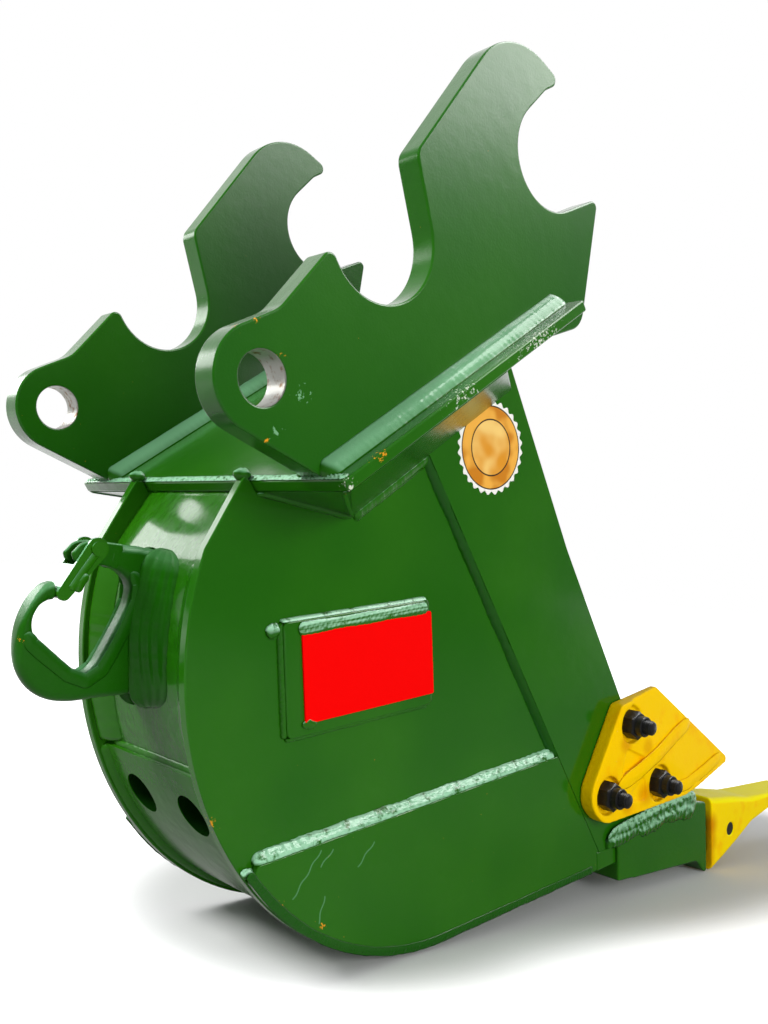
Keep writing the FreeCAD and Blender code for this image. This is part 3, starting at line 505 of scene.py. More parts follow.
def marks(recipe, spot, places, size):
    """Small flecks round the listed places (x, y, z, radius): fine noise that passes a limit."""
    fine = recipe.cloud(spot, size, detail=3.0, roughness=0.7)
    reach, *others = [recipe.near(spot, centre, radius) for *centre, radius in places]
    for here in others:
        reach = reach.highest(here)
    return (fine + reach * 0.24).between(0.75, 0.79)


def scratch(x, z, start, end):
    """1 on a thin wavy line between two points (x, z) seen from the side, and 0 off it."""
    length = math.dist(start, end)
    step_x, step_z = (end[0] - start[0]) / length, (end[1] - start[1]) / length
    along = (x - start[0]) * step_x + (z - start[1]) * step_z
    wave = (along * 0.35).sine() * 0.8
    sideways = abs((x - start[0]) * step_z - (z - start[1]) * step_x + wave)
    inside = along.between(0.0, 1.0) * (length - along).between(0.0, 1.0)
    return (0.8 - sideways).between(0.0, 0.3) * inside


def enamel(
    name, orange=(), white=(), rough=0.0, bored=False, grain=0.1, waves=0.0, dust_and_sheen=0.0, gloss=1.0,
    blur=0.1, patchy=0.0, chip=CHIP_WHITE, chip_size=2.6, shade=0.0, scratches=(), dust=GREEN_DUST_WEAR_AND_SHEEN,
    drains=(),
):
    """Thick gloss green enamel, with flecks at the listed places.

    Its tone drifts in large blotches, its skin has a fine orange peel, and rough adds a coarser
    skin. Shade darkens the whole surface toward a deep green, as painted shade. Faces that turn up
    turn paler toward the dust colour, in patches if wanted: partly dust, partly a painted sky sheen.
    The walls of the drains are darkened with painted shade, the bore is bare steel, and flecks and
    steel have no gloss coat.
    """
    made, recipe = material(name, (0.03, 0.15, 0.03))
    spot, x, y, z = recipe.place()
    drift = recipe.cloud(spot, 160)
    streak = recipe.cloud(spot, 11, detail=3.0)
    paint = recipe.mix(drift.between(0.3, 0.75), GREEN_DEEP, GREEN)
    paint = recipe.mix((streak * 0.5 + drift * 0.5).between(0.52, 0.8) * 0.15, paint, GREEN_PALE)
    # Painted shade: the whole surface darkened toward a deep green.
    if shade:
        paint = recipe.mix(shade, paint, GREEN_PAINTED_SHADE)
    for start, end in scratches:
        paint = recipe.mix(scratch(x, z, start, end) * 0.35, paint, GREEN_DUST_WEAR_AND_SHEEN)
    roughness = 0.16 + streak * 0.12
    height = recipe.cloud(spot, 2.2, detail=1.0) * grain
    height = height + recipe.cloud(spot, 16, detail=1.0) * (0.5 + waves)
    if rough:
        height = height + recipe.cloud(spot, 3.5, detail=4.0, roughness=0.65) * rough
    # Partly dust, partly painted sky sheen: paler where the surface faces up, toward the dust colour.
    if dust_and_sheen:
        if patchy:
            upward = recipe.upward().between(-0.25, 0.35)
            cover = recipe.cloud(spot, patchy, detail=4.0, roughness=0.65).between(0.34, 0.5)
        else:
            upward = recipe.upward().between(0.15, 0.6)
            cover = (0.45 + drift * 0.8).lowest(1.0)
        paint = recipe.mix(upward * cover * dust_and_sheen, paint, dust)
    # Painted shade on the walls of the drain holes.
    for centre in drains:
        off_x, off_y, off_z = x - centre[0], y - centre[1], z - centre[2]
        gap_squared = off_x * off_x + off_y * off_y + off_z * off_z
        wall = gap_squared.between((BORE_RADIUS + 1.2) ** 2, (BORE_RADIUS + 0.9) ** 2)
        paint = recipe.mix(wall * 0.9, paint, GREEN_DRAIN_PAINTED_SHADE)
    coat, metal = gloss, 0.0
    for places, size, tone in ((orange, 3.4, CHIP_ORANGE), (white, chip_size, chip)):
        if places:
            flecks = marks(recipe, spot, places, size)
            paint = recipe.mix(flecks, paint, tone)
            coat = coat * (1 - flecks)
    if bored:
        bore = (x * x + z * z).between((BORE_RADIUS + 0.6) ** 2, (BORE_RADIUS + 0.2) ** 2)
        worn = recipe.cloud(spot, 6, detail=4.0)
        steel = recipe.mix(worn.between(0.5, 0.72), STEEL, STEEL_RUSTY)
        paint = recipe.mix(bore, paint, steel)
        metal = bore * 0.75
        roughness = roughness + bore * 0.2
        coat = coat * (1 - bore)
    recipe.finish({
        "Base Color": paint,
        "Roughness": roughness,
        "Metallic": metal,
        "Specular IOR Level": 0.05,
        "Coat Weight": coat,
        "Coat Roughness": blur,
        "Coat IOR": 1.32,
        "Normal": recipe.bump(height),
    })
    return made


def yellow_enamel(name, base, shade, spots, top=None):
    """Yellow enamel on rough cast steel, with painted shade in orange near the listed places and painted
    light on top.
    """
    made, recipe = material(name, (0.9, 0.5, 0.02))
    spot = recipe.place()[0]
    drift = recipe.cloud(spot, 30, detail=4.0)
    paint = recipe.mix(drift.between(0.25, 0.5), shade, base)
    # Painted shade: orange near each listed place, by its strength.
    for *centre, radius, strength in spots:
        here = recipe.near(spot, centre, radius)
        paint = recipe.mix(here.between(0.0, 0.8) * strength, paint, YELLOW_PAINTED_SHADE)
    # Painted light: a brighter colour on faces that turn up.
    if top:
        paint = recipe.mix(recipe.upward().between(0.1, 0.4), paint, top)
    dust = recipe.cloud(spot, 4, detail=4.0, roughness=0.7)
    paint = recipe.mix(dust.between(0.66, 0.8) * 0.5, paint, YELLOW_DUSTY)
    height = recipe.cloud(spot, 3.0, detail=3.0) * 0.35 + drift * 0.8
    recipe.finish({
        "Base Color": paint,
        "Roughness": 0.34 + dust * 0.12,
        "Specular IOR Level": 0.03,
        "Coat Weight": 0.05,
        "Coat Roughness": 0.25,
        "Coat IOR": 1.25,
        "Normal": recipe.bump(height),
    })
    return made


def plain(name, tone, roughness, metallic=0.0, coat=0.0, grain=0.0, specular=0.25):
    """One even colour, with a fine skin where grain is given."""
    made, recipe = material(name, tone[:3])
    values = {
        "Base Color": tone, "Roughness": roughness, "Metallic": metallic, "Coat Weight": coat,
        "Specular IOR Level": specular,
    }
    if grain:
        values["Normal"] = recipe.bump(recipe.cloud(recipe.place()[0], 1.6) * grain)
    recipe.finish(values)
    return made


def seal_finish():
    """Round seal: gold middle, orange ring and white edge, by the distance from its centre, with a
    painted sheen in blotches over the gold.
    """
    made, recipe = material("gold seal", (0.8, 0.5, 0.1))
    spot = recipe.place()[0]
    gap = recipe.gap(spot, SEAL_CENTRE)
    # Painted sheen: the gold and the ring turn lighter in large blotches.
    painted_sheen = recipe.cloud(spot, 25, detail=1.0)
    tone = recipe.mix(painted_sheen.between(0.3, 0.7), colour(226, 150, 36), colour(250, 208, 120))
    ring = recipe.mix(painted_sheen.between(0.4, 0.6), colour(206, 128, 22), colour(244, 178, 70))
    edge = colour(248, 246, 240)
    for radius, beyond in ((26, SEAL_LINE), (27.4, ring), (39.0, SEAL_LINE), (40.2, edge)):
        tone = recipe.mix((gap - radius).between(0.0, 0.5), tone, beyond)
    recipe.finish({"Base Color": tone, "Roughness": 0.4, "Specular IOR Level": 0.2})
    return made


# The shade amounts below darken whole surfaces as painted shade, and the amounts of dust and sheen make
# faces that turn up paler, partly as dust and partly as painted sky sheen.
bracket_enamel = enamel(
    "bracket enamel",
    orange=((87, -209, -43, 16), (-38, -180, -27, 7), (25, -180, -3, 5)),
    white=((59, -209, -69, 16), (10, -180, -42, 26), (256, -209, 68, 60), (170, -209, 10, 40)),
)
ear_enamel = enamel(
    "ear enamel",
    orange=(
        (-38, -180, -27, 9), (14, -180, 16, 9), (-9, -180, 39, 7), (-22, -176, 31, 7),
        (7, -180, -43, 7),
    ),
    white=((34, -180, -6, 18), (14, -180, -36, 14)),
    bored=True, shade=0.3, blur=0.24, grain=0.16, chip=colour(112, 166, 118), chip_size=5.0,
)
shell_enamel = enamel(
    "shell enamel",
    orange=((110, -100, -406, 10), (153, -100, -430, 8), (43, -92, -333, 14)),
    scratches=(
        ((147, -365), (120, -402)), ((160, -366), (147, -380)),
        ((154, -404), (149, -427)), ((206, -366), (188, -386)),
    ),
)
wrapper_enamel = enamel("upper wrapper enamel", rough=0.8, waves=3.0, gloss=0.95, blur=0.11)
lower_wrapper_enamel = enamel(
    "lower wrapper enamel",
    orange=((40, -43, -344, 14),), waves=0.2, gloss=0.5, blur=0.2, drains=DRAIN_WALLS,
)
bar_enamel = enamel("side bar enamel")
weld_enamel = enamel("weld enamel", grain=0.12, rough=0.3, dust_and_sheen=1.0)
pale_weld_enamel = enamel(
    "pale weld enamel",
    grain=0.2, rough=0.7, dust_and_sheen=1.0, patchy=12.0, dust=colour(160, 214, 176),
)
# Painted shade for the dark band along the bottom edges of the sides.
painted_shade_edge_enamel = enamel("edge enamel", grain=0.2, rough=1.0, shade=0.6)
rough_weld_enamel = enamel(
    "rough weld enamel",
    grain=0.2, rough=1.5, dust_and_sheen=1.0, patchy=5.0, dust=colour(150, 204, 166),
)
# Painted shade for the bead in the step behind each side bar.
painted_shade_bead_enamel = enamel("dark bead enamel", shade=0.6)
root_weld_enamel = enamel(
    "root weld enamel", grain=0.2, rough=0.4, dust_and_sheen=0.15, shade=0.5, gloss=0.7, blur=0.2,
)
cast_enamel = enamel("cast enamel", grain=0.2, rough=0.5, dust_and_sheen=0.35)
forged_enamel = enamel(
    "forged enamel",
    orange=((-87, -10, -200, 8),), grain=0.2, rough=0.5, dust_and_sheen=0.35, shade=0.55, gloss=0.5, blur=0.3,
)
flare_enamel = enamel("flare enamel", gloss=0.4, blur=0.25, shade=0.2)
# Painted shade in orange in the recess corners of the cutters.
cutter_yellow = yellow_enamel("cutter yellow", colour(255, 206, 0), colour(253, 186, 0), spots=(
    (548, -117, -304, 15, 0.5), (590, -117, -310, 14, 0.4),
    (556, -117, -371, 14, 0.5), (592, -117, -362, 18, 0.5),
))
# Painted shade in orange at the tooth's rear rim and recesses, and painted light in a brighter yellow on
# its top.
tooth_yellow = yellow_enamel("tooth yellow", colour(255, 220, 0), colour(252, 196, 0), spots=(
    (748, -104, -420, 22, 0.8), (744, -104, -460, 24, 0.8),
    (742, -76, -480, 34, 0.9), (752, -104, -440, 18, 0.6),
), top=colour(255, 240, 0))
black_steel = plain("black phosphate steel", colour(30, 30, 31), 0.42, 0.3, 0.2, grain=0.3)
red_face = plain("red face", colour(250, 0, 0), 0.6, grain=0.1, specular=0.04)
bright_steel = plain("bright steel", colour(170, 170, 168), 0.35, 0.9)

node_finish = {
    "ear_left": ear_enamel, "ear_right": ear_enamel, "hitch_base_plate": bracket_enamel,
    "name_plate": red_face, "tooth_pin_left": black_steel, "tooth_pin_right": black_steel,
    "latch_pin": cast_enamel, "latch_spring": bright_steel,
}
for name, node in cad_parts.items():
    node.data.materials.clear()
    node.data.materials.append(node_finish.get(name, shell_enamel))

# Plates and castings

for side, sign in SIDES:
    plate(f"ear_{side}", ear_enamel, 2.4)
    plate(f"flare_{side}", flare_enamel, 1.2)
    plate(f"rear_flare_{side}", flare_enamel, 1.0)
    plate(f"side_plate_{side}", shell_enamel, 2.0)
    plate(f"side_bar_{side}", bar_enamel, 2.2)
    plate(f"side_wear_plate_{side}", shell_enamel, 2.0)
    casting(f"adapter_{side}", cast_enamel, 1.3, 14)
    casting(f"tooth_{side}", tooth_yellow, 1.3, 8)
    casting(f"side_cutter_{side}", cutter_yellow, 1.2, 8)
plate("hitch_base_plate", bracket_enamel, 1.6)
plate("mouth_crossbar", bracket_enamel, 1.5)
plate("wrapper_upper", wrapper_enamel, 1.0)
plate("wrapper_lower", lower_wrapper_enamel, 1.6)
plate("lip_plate", bar_enamel, 1.5)

# Lifting hook: one forged bar from the tip round the bowl and the root to the lug, the lug's two
# cheeks, a raised ring round the throat, and two beads and two tabs on the latch

HOOK_OUTER = (
    (-62.5, -154.6), (-69.8, -158.5), (-79.5, -172.5), (-86.0, -190.0), (-87.2, -208.0),
    (-82.8, -225.0), (-72.5, -238.5), (-58.0, -246.4), (-40.0, -248.6), (-18.0, -246.6),
    (6.0, -244.8), (27.5, -240.0), (24.0, -215.0), (23.5, -190.0), (26.0, -160.0), (31.0, -130.0),
    (14.0, -124.3), (0.0, -123.2), (-14.0, -122.2),
)
HOOK_INNER = (
    (-61.5, -168.6), (-66.0, -169.6), (-72.0, -173.0), (-75.8, -181.5), (-76.0, -190.5), (-72.0, -198.8),
    (-63.5, -205.6), (-54.0, -213.0), (-43.0, -221.4), (-31.0, -226.0), (-22.5, -220.0), (-15.5, -207.5),
    (-8.5, -193.5), (-2.0, -180.0), (2.6, -167.0), (2.8, -155.5), (-3.0, -148.0), (-10.5, -143.5),
    (-17.0, -141.5),
)
LUG_OUTER = ((-8, -122.6), (-20, -121.8), (-32, -120.9), (-42, -123.5), (-48.5, -130.0))
LUG_INNER = ((-12, -143.0), (-22, -140.6), (-32, -140.6), (-41, -142.0), (-45.0, -138.5))
LATCH_SIDEWAYS = (0.85, 0, -0.5)
forging = between_edges("hook_forging", HOOK_OUTER, HOOK_INNER, 0, 10, (9, 6), forged_enamel)
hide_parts("lifting_hook")
for side, sign in SIDES:
    between_edges(
        f"hook_lug_{side}", LUG_OUTER, LUG_INNER, sign * 7.6, 2.3, (2, 2), forged_enamel, sections=40
    )
plate("hook_latch", weld_enamel, 1.0, body=LATCH)

throat = np.insert(np.array(HOOK_INNER)[4:17], 1, 0, axis=1)
for side, sign in SIDES:
    out = sign * ACROSS
    path = throat + 6 * beside(throat) + 9.5 * out
    ridge(
        f"hook_ring_{side}", path, beside(evenly(path)[0]), out, 12, forged_enamel,
        ripple=0, uneven=0.4, bulge=0.12, taper=2, seed=131,
    )
    path = [(-31, sign * 13.2, -130), (-41, sign * 13.2, -145), (-51, sign * 13.2, -161)]
    ridge(
        f"latch_bead_{side}", path, LATCH_SIDEWAYS, out, 6.5, weld_enamel,
        ripple=0, uneven=0.3, bulge=0.2, seed=133, body=LATCH,
    )
    path = [(-38, sign * 12.6, -147), (-43, sign * 12.6, -154), (-46, sign * 12.6, -162)]
    ridge(
        f"latch_tab_{side}", path, LATCH_SIDEWAYS, out, 9, weld_enamel,
        ripple=0, uneven=0.3, bulge=0.3, taper=1.2, seed=135, body=LATCH,
    )

# Welds of the ears, the flares, the rims, the wear plates and the side bars

RISE_FROM_WEAR_PLATE = unit((-0.1513, 0, 0.9885))
BEHIND_SIDE_BAR = unit((-0.8055, 0, -0.5926))
for side, sign in SIDES:
    out = sign * ACROSS
    for face, y, away in (("outer", EAR_OUTER, out), ("inner", EAR_INNER, -out)):
        bead = weld(
            f"ear_bead_{face}_{side}", [on_base(2, 0, sign * y), on_base(317, 0, sign * y)],
            away, UP_FROM_BASE, (13.6, 12.4), weld_enamel,
            bulge=0.07, ripple=0, uneven=0.14, seed=5 + y,
        )
        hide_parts(f"ear_weld_{face}_{side}")
    top = on_base(0, FLARE_TOP, sign * BASE_HALF_WIDTH)
    foot, point, front = (
        on_base(along, FLARE_FOOT, sign * PLATE_OUTER) for along in (0, REAR_FLARE_SWEEP, 238)
    )
    up_flare = unit(top - foot)
    weld(
        f"flare_toe_bead_{side}", [point, front], up_flare, -UP_FROM_BASE, (7, 7), weld_enamel,
        seed=21,
    )
    corner = on_base(0, 11, sign * 202)
    heel = on_base(2, 11, sign * PLATE_OUTER)
    weld(
        f"rear_flare_edge_bead_{side}", [corner, point], up_flare, unit(heel - corner), (5, 5),
        weld_enamel, seed=31,
    )
    weld(
        f"rear_flare_root_bead_{side}", [heel, point], unit(corner - heel), -ALONG_BASE, (6, 6),
        weld_enamel, seed=35,
    )
    upper = (np.linspace(166, SEAM_ANGLE, 60), UPPER_DEPTH, (28, 10))
    lower = (np.linspace(SEAM_ANGLE, 276, 120), LOWER_DEPTH, (6, 6))
    for part, (angles, depth, legs) in (("upper", upper), ("lower", lower)):
        path = on_shell(angles, depth, sign * PLATE_INNER)
        ray = unit((evenly(path)[0] - BACK) * (1, 0, 1))
        weld(
            f"rim_bead_{part}_{side}", path, -out, ray, legs, bar_enamel,
            bulge=0.02, ripple=0.01, uneven=0.4, seed=41,
        )
    path = [(82, sign * PLATE_OUTER, -369.8), (452, sign * PLATE_OUTER, -313.2)]
    weld(
        f"wear_plate_top_bead_{side}", path, out, RISE_FROM_WEAR_PLATE, (8, 9), pale_weld_enamel,
        bulge=0.1, ripple=0.05, rough=0.5, passes=2, seed=51,
    )
    path = [(212, sign * PLATE_OUTER, 16), (530, sign * PLATE_OUTER, -416.5)]
    weld(
        f"side_bar_bead_{side}", path, out, BEHIND_SIDE_BAR, (7.6, 6), painted_shade_bead_enamel,
        bulge=0.05, ripple=0.05, seed=61,
    )

for side, sign in SIDES:
    heel = on_shell(np.linspace(219, 277, 60), 4.4, sign * BAR_OUTER)
    path = np.concatenate((heel, [on_floor(along, 4.4, sign * BAR_OUTER) for along in (20, 120, 226)]))
    ridge(
        f"bottom_bead_{side}", path, -beside(evenly(path)[0]), sign * ACROSS, 8.4, painted_shade_edge_enamel,
        ripple=0.1, rough=0.8, bulge=0.05, seed=141,
    )
ridge(
    "base_rear_bead", [on_base(4.5, 0, -206), on_base(4.5, 0, 206)], ALONG_BASE, UP_FROM_BASE, 9,
    rough_weld_enamel, ripple=0.1, rough=1.2, bulge=0.12, seed=121,
)

# Adapter welds: heavy overlapping fillets over the top outer edge, and one across the top

ADAPTER_EDGE_Y = 103.2
ADAPTER_EDGE = ((251, 364, 424), (31, 41, 37))  # places along the floor, and heights above it
for side, sign in SIDES:
    out = sign * ACROSS
    fillets = (("rear", 249, 336, 13), ("middle", 300, 385, 17), ("front", 356, 424, 20))
    for part, start, end, low_leg in fillets:
        heights = np.interp((start, end), *ADAPTER_EDGE)
        path = [on_floor(*place, sign * ADAPTER_EDGE_Y) for place in zip((start, end), heights)]
        weld(
            f"adapter_{part}_bead_{side}", path,
            UP_FROM_FLOOR + 0.16 * out, 0.1 * out - UP_FROM_FLOOR, (11, low_leg), rough_weld_enamel,
            passes=2, ripple=0.04, rough=1.3, pitch=5.2, uneven=1.6, bulge=0.05, taper=1.3,
            seed=101 + start,
        )
    path = [on_floor(*place, sign * y) for *place, y in ((352, 41, 90), (400, 39, 88), (436, 29, 86))]
    ridge(
        f"adapter_top_bead_{side}", path, out, UP_FROM_FLOOR, 32, rough_weld_enamel,
        passes=2, ripple=0.3, rough=2.6, pitch=5.2, bulge=0.12, seed=103,
    )

# Ribs cast on the side cutters

CUTTER_EDGE = np.array((612.0, -245.5)), np.array((781.5, -341.0))
CUTTER_FACE_Y = 117
CUTTER_SLOPE_WIDTH, CUTTER_SLOPE_DROP = 62, 9


def blade_face(x, z, sign):
    """Point on a cutter's outer face, which slopes down evenly before its edge."""
    way = unit(CUTTER_EDGE[1] - CUTTER_EDGE[0])
    gap = abs((x - CUTTER_EDGE[0][0]) * way[1] - (z - CUTTER_EDGE[0][1]) * way[0])
    drop = max(0.0, (CUTTER_SLOPE_WIDTH - gap) / CUTTER_SLOPE_WIDTH * CUTTER_SLOPE_DROP)
    return np.array((x, sign * (CUTTER_FACE_Y - drop), z))


RIB_PATH = ((538, -349), (575, -335), (610, -319), (650, -301), (686, -288))
FOOT_PATH = ((640, -362), (672, -359), (716, -347), (758, -334))
for side, sign in SIDES:
    for part, places, up, width, bulge, seed in (
        ("rib", RIB_PATH, (-0.4, 0, 0.92), 18, 0.09, 111),
        ("foot", FOOT_PATH, (-0.3, 0, 0.95), 15, 0.05, 113),
    ):
        path = [blade_face(x, z, sign) for x, z in places]
        ridge(
            f"cutter_{part}_{side}", path, up, sign * ACROSS, width, cutter_yellow,
            ripple=0, uneven=0.1, bulge=bulge, taper=2.5, seed=seed,
        )

# Hook root welds, and blobs at the ends of other beads

HOOK_SIDE_Y = 10
root = on_shell(np.linspace(164.6, 192.6, 40), UPPER_DEPTH, 0)
for side, sign in SIDES:
    offset = sign * HOOK_SIDE_Y * ACROSS
    path = root + offset
    weld(
        f"hook_root_bead_{side}", path, sign * ACROSS, unit(evenly(path)[0] - offset - BACK),
        (31, 19), root_weld_enamel, bulge=-0.09, ripple=0.01, pitch=4.6, uneven=0.4, passes=4,
        taper=1.2, seed=71,
    )
for side, sign in SIDES:
    dab(f"wear_plate_blob_{side}", (78, sign * 94, -376), (6, 3, 4), pale_weld_enamel, seed=3)
    dab(f"rim_top_blob_{side}", (51, sign * 86, -61), (8, 6, 5), weld_enamel, seed=5)

# Seam between the two wrapper plates

SEAM_BEAD_ANGLE = SEAM_ANGLE - 0.05
seam = on_shell(np.array([SEAM_BEAD_ANGLE]), UPPER_DEPTH, 0)[0]
seam_ray = unit(seam - BACK)
seam_up = np.cross(ACROSS, seam_ray)
seam_up = seam_up * np.sign(seam_up[2])
weld(
    "seam_bead", [seam - 72 * ACROSS, seam + 72 * ACROSS], seam_ray, seam_up, (3, 4.5),
    lower_wrapper_enamel, bulge=0.06, ripple=0.05, seed=81,
)

# Name plate on the right side, with its beads

tilt = math.radians(7.8)
plate_along = np.array((math.cos(tilt), 0, math.sin(tilt)))
plate_up = np.array((-math.sin(tilt), 0, math.cos(tilt)))
plate_centre = np.array((180, -PLATE_OUTER, -213.7))
half_long, half_high = 163 / 2, 96 / 2
plate("name_plate_backing", bar_enamel, 1.5)
plate("name_plate", red_face, 0.6)


def on_plate(along, up, out=0.0):
    """Point on the name plate's backing, from its centre: along it, up it and out from the side."""
    return plate_centre + along * plate_along + up * plate_up - out * ACROSS


for edge, (first, last, away) in enumerate((
    ((-1, -1), (1, -1), -plate_up), ((1, -1), (1, 1), plate_along),
    ((1, 1), (-1, 1), plate_up), ((-1, 1), (-1, -1), -plate_along),
)):
    ends = [on_plate(along * half_long, up * half_high) for along, up in (first, last)]
    legs, finish = ((5, 3), pale_weld_enamel) if edge == 2 else ((4.4, 4), bar_enamel)
    weld(
        f"name_plate_bead_{edge}", ends, -ACROSS, away, legs, finish,
        ripple=0.05, rough=0.6, seed=90 + edge,
    )
ends = [on_plate(along, half_high - 7.0, 6.9) for along in (14 - half_long, half_long - 3)]
ridge(
    "name_plate_top_bead", ends, plate_up, -ACROSS, 11.5, pale_weld_enamel,
    ripple=0.05, rough=0.8, passes=2, bulge=0.06, seed=97,
)
dab("name_plate_blob", on_plate(-half_long - 7, half_high - 6, 1), (7, 4, 6), pale_weld_enamel, seed=2)
dab("name_plate_chip", on_plate(22 - half_long, 9.5 - half_high, 7), (7, 1.6, 4.2), weld_enamel, seed=4)

# Seal on the side bar: a thin disc whose edge is a cosine scallop

SEAL_RADIUS, SCALLOP_DEPTH, SCALLOPS = 44, 1.6, 28
SEAL_FRONT, SEAL_THICKNESS = -0.35, 0.4
around = np.linspace(0, 2 * np.pi, 361)[:-1]
shares = np.array((0, 0.3, 0.6, 0.8, 0.9, 0.97, 1.0))[:, None]
edge = SEAL_RADIUS + SCALLOP_DEPTH * np.cos(SCALLOPS * around)
disc = np.stack((
    shares * edge * np.cos(around), 0 * shares * edge + SEAL_FRONT, shares * edge * np.sin(around)
), axis=-1)
disc = np.concatenate((disc, disc[-1:] + (0, SEAL_THICKNESS, 0)))
surface("round_seal", disc + SEAL_CENTRE, seal_finish())

# Bolts and nuts

NUT_SECTORS = 6
NUT_PROFILE = (  # radius, distance from the middle plane, and how much of the hexagon it has
    (0.0, 109, 0), (13.0, 109, 1), (13.5, 109.6, 1), (13.5, 123.2, 1), (13.3, 124.2, 0.55),
    (12.8, 125, 0.1), (11.2, 125.1, 0), (11.0, 125.6, 0), (11.0, 132.0, 0), (10.2, 133, 0),
    (8.4, 133, 0), (8.2, 130, 0), (0.0, 130, 0),
)
HEAD_PROFILE = ((0, 76, 0), (14, 76, 0), (15, 77, 0), (15, 82, 0), (0, 82, 0))
THREAD_START, THREAD_END = 124, 142.6
THREAD_RADIUS, THREAD_PITCH, THREAD_DEPTH = 7.9, 2.0, 0.9
TIP_LENGTH, TIP_TAPER = 2, 2.2


def turned_piece(profile, centre, sign, sides=48):
    """Grid of a turned piece: its profile carried round an axis along Y.

    A hexagon's radius is its flat distance divided by the cosine of the angle to that flat.
    """
    angles = np.linspace(0, 2 * np.pi, sides, endpoint=False)
    half_sector = math.pi / NUT_SECTORS
    flat = 1 / np.cos((angles + half_sector) % (2 * half_sector) - half_sector)
    radius, reach, hexagon = (np.array(profile)[:, column, None] for column in range(3))
    ring = radius * (1 + (flat - 1) * hexagon)
    x = centre[0] + ring * np.cos(angles)
    z = centre[1] + ring * np.sin(angles)
    return np.stack((x, sign * (reach + 0 * x), z), axis=-1)


def threaded(centre, sign, sides=40):
    """Grid of a threaded rod: its radius dips by a triangle wave of the length less the turn."""
    angles = np.linspace(0, 2 * np.pi, sides, endpoint=False)
    reach = np.arange(THREAD_START, THREAD_END, THREAD_PITCH / 6)[:, None]
    phase = (reach / THREAD_PITCH - angles / (2 * np.pi)) % 1
    dip = np.abs(2 * phase - 1) * THREAD_DEPTH
    fade = np.clip((THREAD_END - reach) / TIP_LENGTH, 0, 1)
    ring = THREAD_RADIUS - dip - (1 - fade) * TIP_TAPER
    x = centre[0] + ring * np.cos(angles)
    z = centre[1] + ring * np.sin(angles)
    grid = np.stack((x, sign * (reach + 0 * ring), z), axis=-1)
    foot, tip = (
        np.broadcast_to((centre[0], sign * end, centre[1]), (1, sides, 3))
        for end in (THREAD_START, THREAD_END + 0.2)
    )
    return np.concatenate((foot, grid, tip))


for side, sign in SIDES:
    for number, centre in enumerate(BOLTS):
        grid = turned_piece(NUT_PROFILE, centre, sign, sides=72)
        nut = surface(
            f"nut_{side}_{number}", grid, black_steel, sharp=math.radians(28)
        )
        grid = threaded(centre, sign)
        rod = surface(f"bolt_{side}_{number}", grid, black_steel)
    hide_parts(f"cutter_nuts_{side}")
    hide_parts(f"cutter_bolts_{side}")
    for ending, centre in zip(("", "_523", "_618"), BOLTS):
        grid = turned_piece(HEAD_PROFILE, centre, sign)
        surface(
            f"bolt_heads_{side}{ending}", grid, black_steel, sharp=math.radians(30)
        )

# Camera

RIGHT = np.array((0.74537, -0.66319, 0.06784))
DOWN = np.array((0.07671, -0.01577, -0.99693))
FORWARD = np.array((0.66222, 0.74829, 0.03912))
CAMERA_PLACE = np.array((-398.08, -765.3, -114.58))


def posed(thing, right, up, back, place):
    """Link a camera or a lamp, turned to three directions and set at a place in metres."""
    made = bpy.data.objects.new(thing.name, thing)
    bpy.context.scene.collection.objects.link(made)
    turn = Matrix(np.column_stack((right, up, back)).tolist()).to_4x4()
    turn.translation = place.tolist()
    made.matrix_world = turn
    return made


lens = bpy.data.cameras.new("photo camera")
lens.lens = 35.86
lens.sensor_width = 36
lens.clip_start = 0.02
bpy.context.scene.camera = posed(lens, RIGHT, -DOWN, -FORWARD, CAMERA_PLACE * MM)

# Floor: it glows white but for a band round the bucket, which keeps the shadow. The band follows a
# line on the floor, and fades by the square of the distance from it. Other rays than the camera's
# see a dim floor near the bucket, and reflected ones a white floor far in front.

FLOOR_REACH, FLOOR_GAP = 9.0, 0.0002  # metres
LINE_START, LINE_LENGTH = (300, 49), (600, -69)
BAND = (165**2, 290**2)
STAND = (380, 0, cad_low.z / MM)
floor_mesh = bpy.data.meshes.new("floor")
level = cad_low.z - FLOOR_GAP
floor_mesh.from_pydata(
    [(x * FLOOR_REACH, y * FLOOR_REACH, level) for x, y in ((-1, -1), (1, -1), (1, 1), (-1, 1))],
    [], [(0, 1, 2, 3)],
)
floor_paint, recipe = material("pale floor", (0.9, 0.9, 0.9))
spot, east, north, _ = recipe.place()
share = east.between(LINE_START[0], LINE_START[0] + LINE_LENGTH[0])
beyond = east - LINE_START[0] - share * LINE_LENGTH[0]
aside = north - LINE_START[1] - share * LINE_LENGTH[1]
fade = recipe.mix((beyond * beyond + aside * aside).between(*BAND), BLACK, WHITE)
ahead = east * float(FORWARD[0]) + north * float(FORWARD[1])
front = ahead.between(300, 1200) * recipe.gap(spot, STAND).between(700, 1500)
matt = recipe.add("BsdfDiffuse", None, {"Color": (0.78, 0.78, 0.78, 1)})
dim = recipe.add("BsdfDiffuse", None, {"Color": (0.4, 0.4, 0.39, 1)})
glow = recipe.add("Emission", None, {"Color": fade})
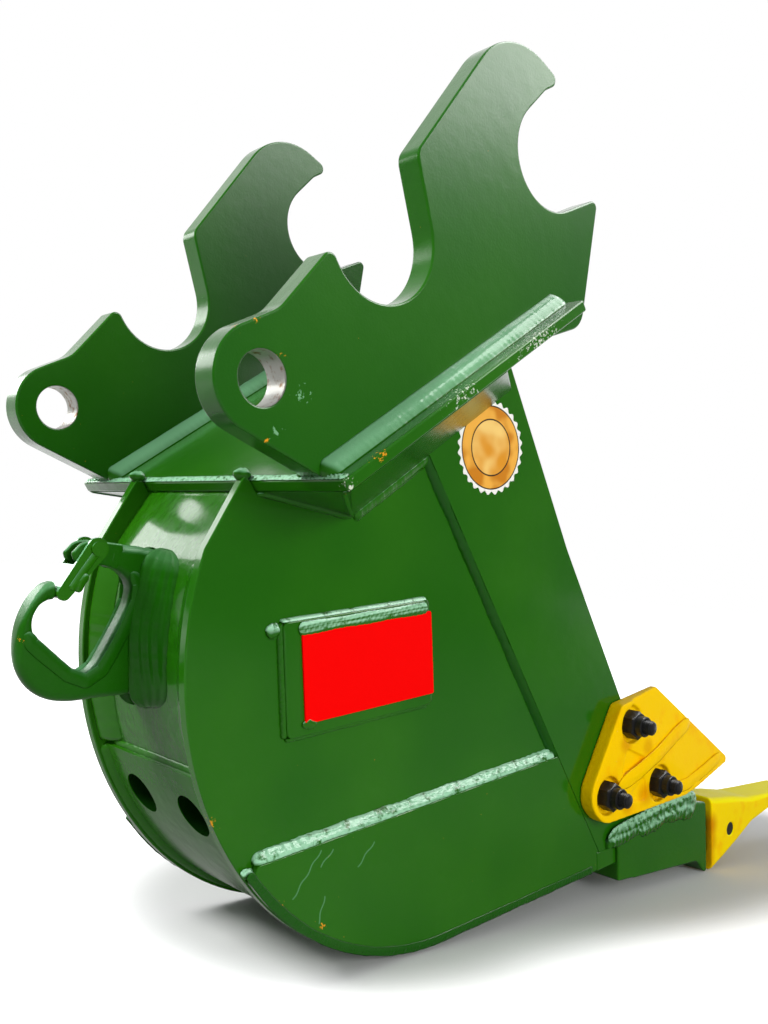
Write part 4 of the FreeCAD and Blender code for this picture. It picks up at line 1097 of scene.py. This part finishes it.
lit = recipe.add("AddShader", None, {0: matt, 1: glow})
mixed = recipe.add("MixShader", None, {0: recipe.shown(front), 1: dim, 2: lit})
recipe.add("OutputMaterial", None, {0: mixed})
floor_mesh.materials.append(floor_paint)
floor = bpy.data.objects.new("floor", floor_mesh)
bpy.context.scene.collection.objects.link(floor)

# Background: white to the camera, and a grey room to all other rays but those reflected ahead

sky = bpy.data.worlds.new("studio")
bpy.context.scene.world = sky
recipe = Recipe(sky)
east, north, height = recipe.split(recipe.add("TexCoord", output=0))
ahead = east * float(FORWARD[0]) + north * float(FORWARD[1])
room = recipe.mix(height.between(0.02, 0.45), colour(122, 122, 119), colour(158, 160, 160))
air = recipe.mix(recipe.shown(ahead.between(0.0, 0.5)), room, WHITE)
light = recipe.add("Background", None, {"Color": air, "Strength": 1.0})
recipe.add("OutputWorld", None, {0: light})

# Lamps, and panels that only show as reflections

LAMP_AIM = np.array((0.25, 0, -0.05))


def lamp(name, way, distance, size, radiance, diffuse=True, glossy=True):
    """Soft lamp of a width and height, in a direction from the bucket and turned to it.

    Its power is its radiance times its area and pi.
    """
    data = bpy.data.lights.new(name, "AREA")
    data.shape = "RECTANGLE"
    data.size, data.size_y = size
    data.energy = radiance * size[0] * size[1] * math.pi
    back = unit(way)
    level_way = unit(np.cross((0, 0, 1), back))
    lit = posed(data, level_way, np.cross(back, level_way), back, LAMP_AIM + distance * back)
    lit.visible_diffuse = diffuse
    lit.visible_glossy = glossy


lamp("key from behind", (-0.75, 0.15, 0.66), 2.6, (0.9, 0.9), 29.0, glossy=False)
lamp("fill from the camera", (-0.1, -1.0, 0.16), 3.0, (1.8, 1.8), 6.4, glossy=False)
lamp("panel in front", (0.64, -0.62, 0.78), 2.6, (1.7, 1.2), 9.5, diffuse=False)
lamp("panel above", (0.38, -0.28, 0.95), 2.4, (1.3, 1.1), 9.0, diffuse=False)
lamp("panel behind", (-0.43, 0.87, 0.36), 2.6, (1.8, 0.7), 6.0, diffuse=False)

bpy.context.scene.view_settings.view_transform = "Standard"
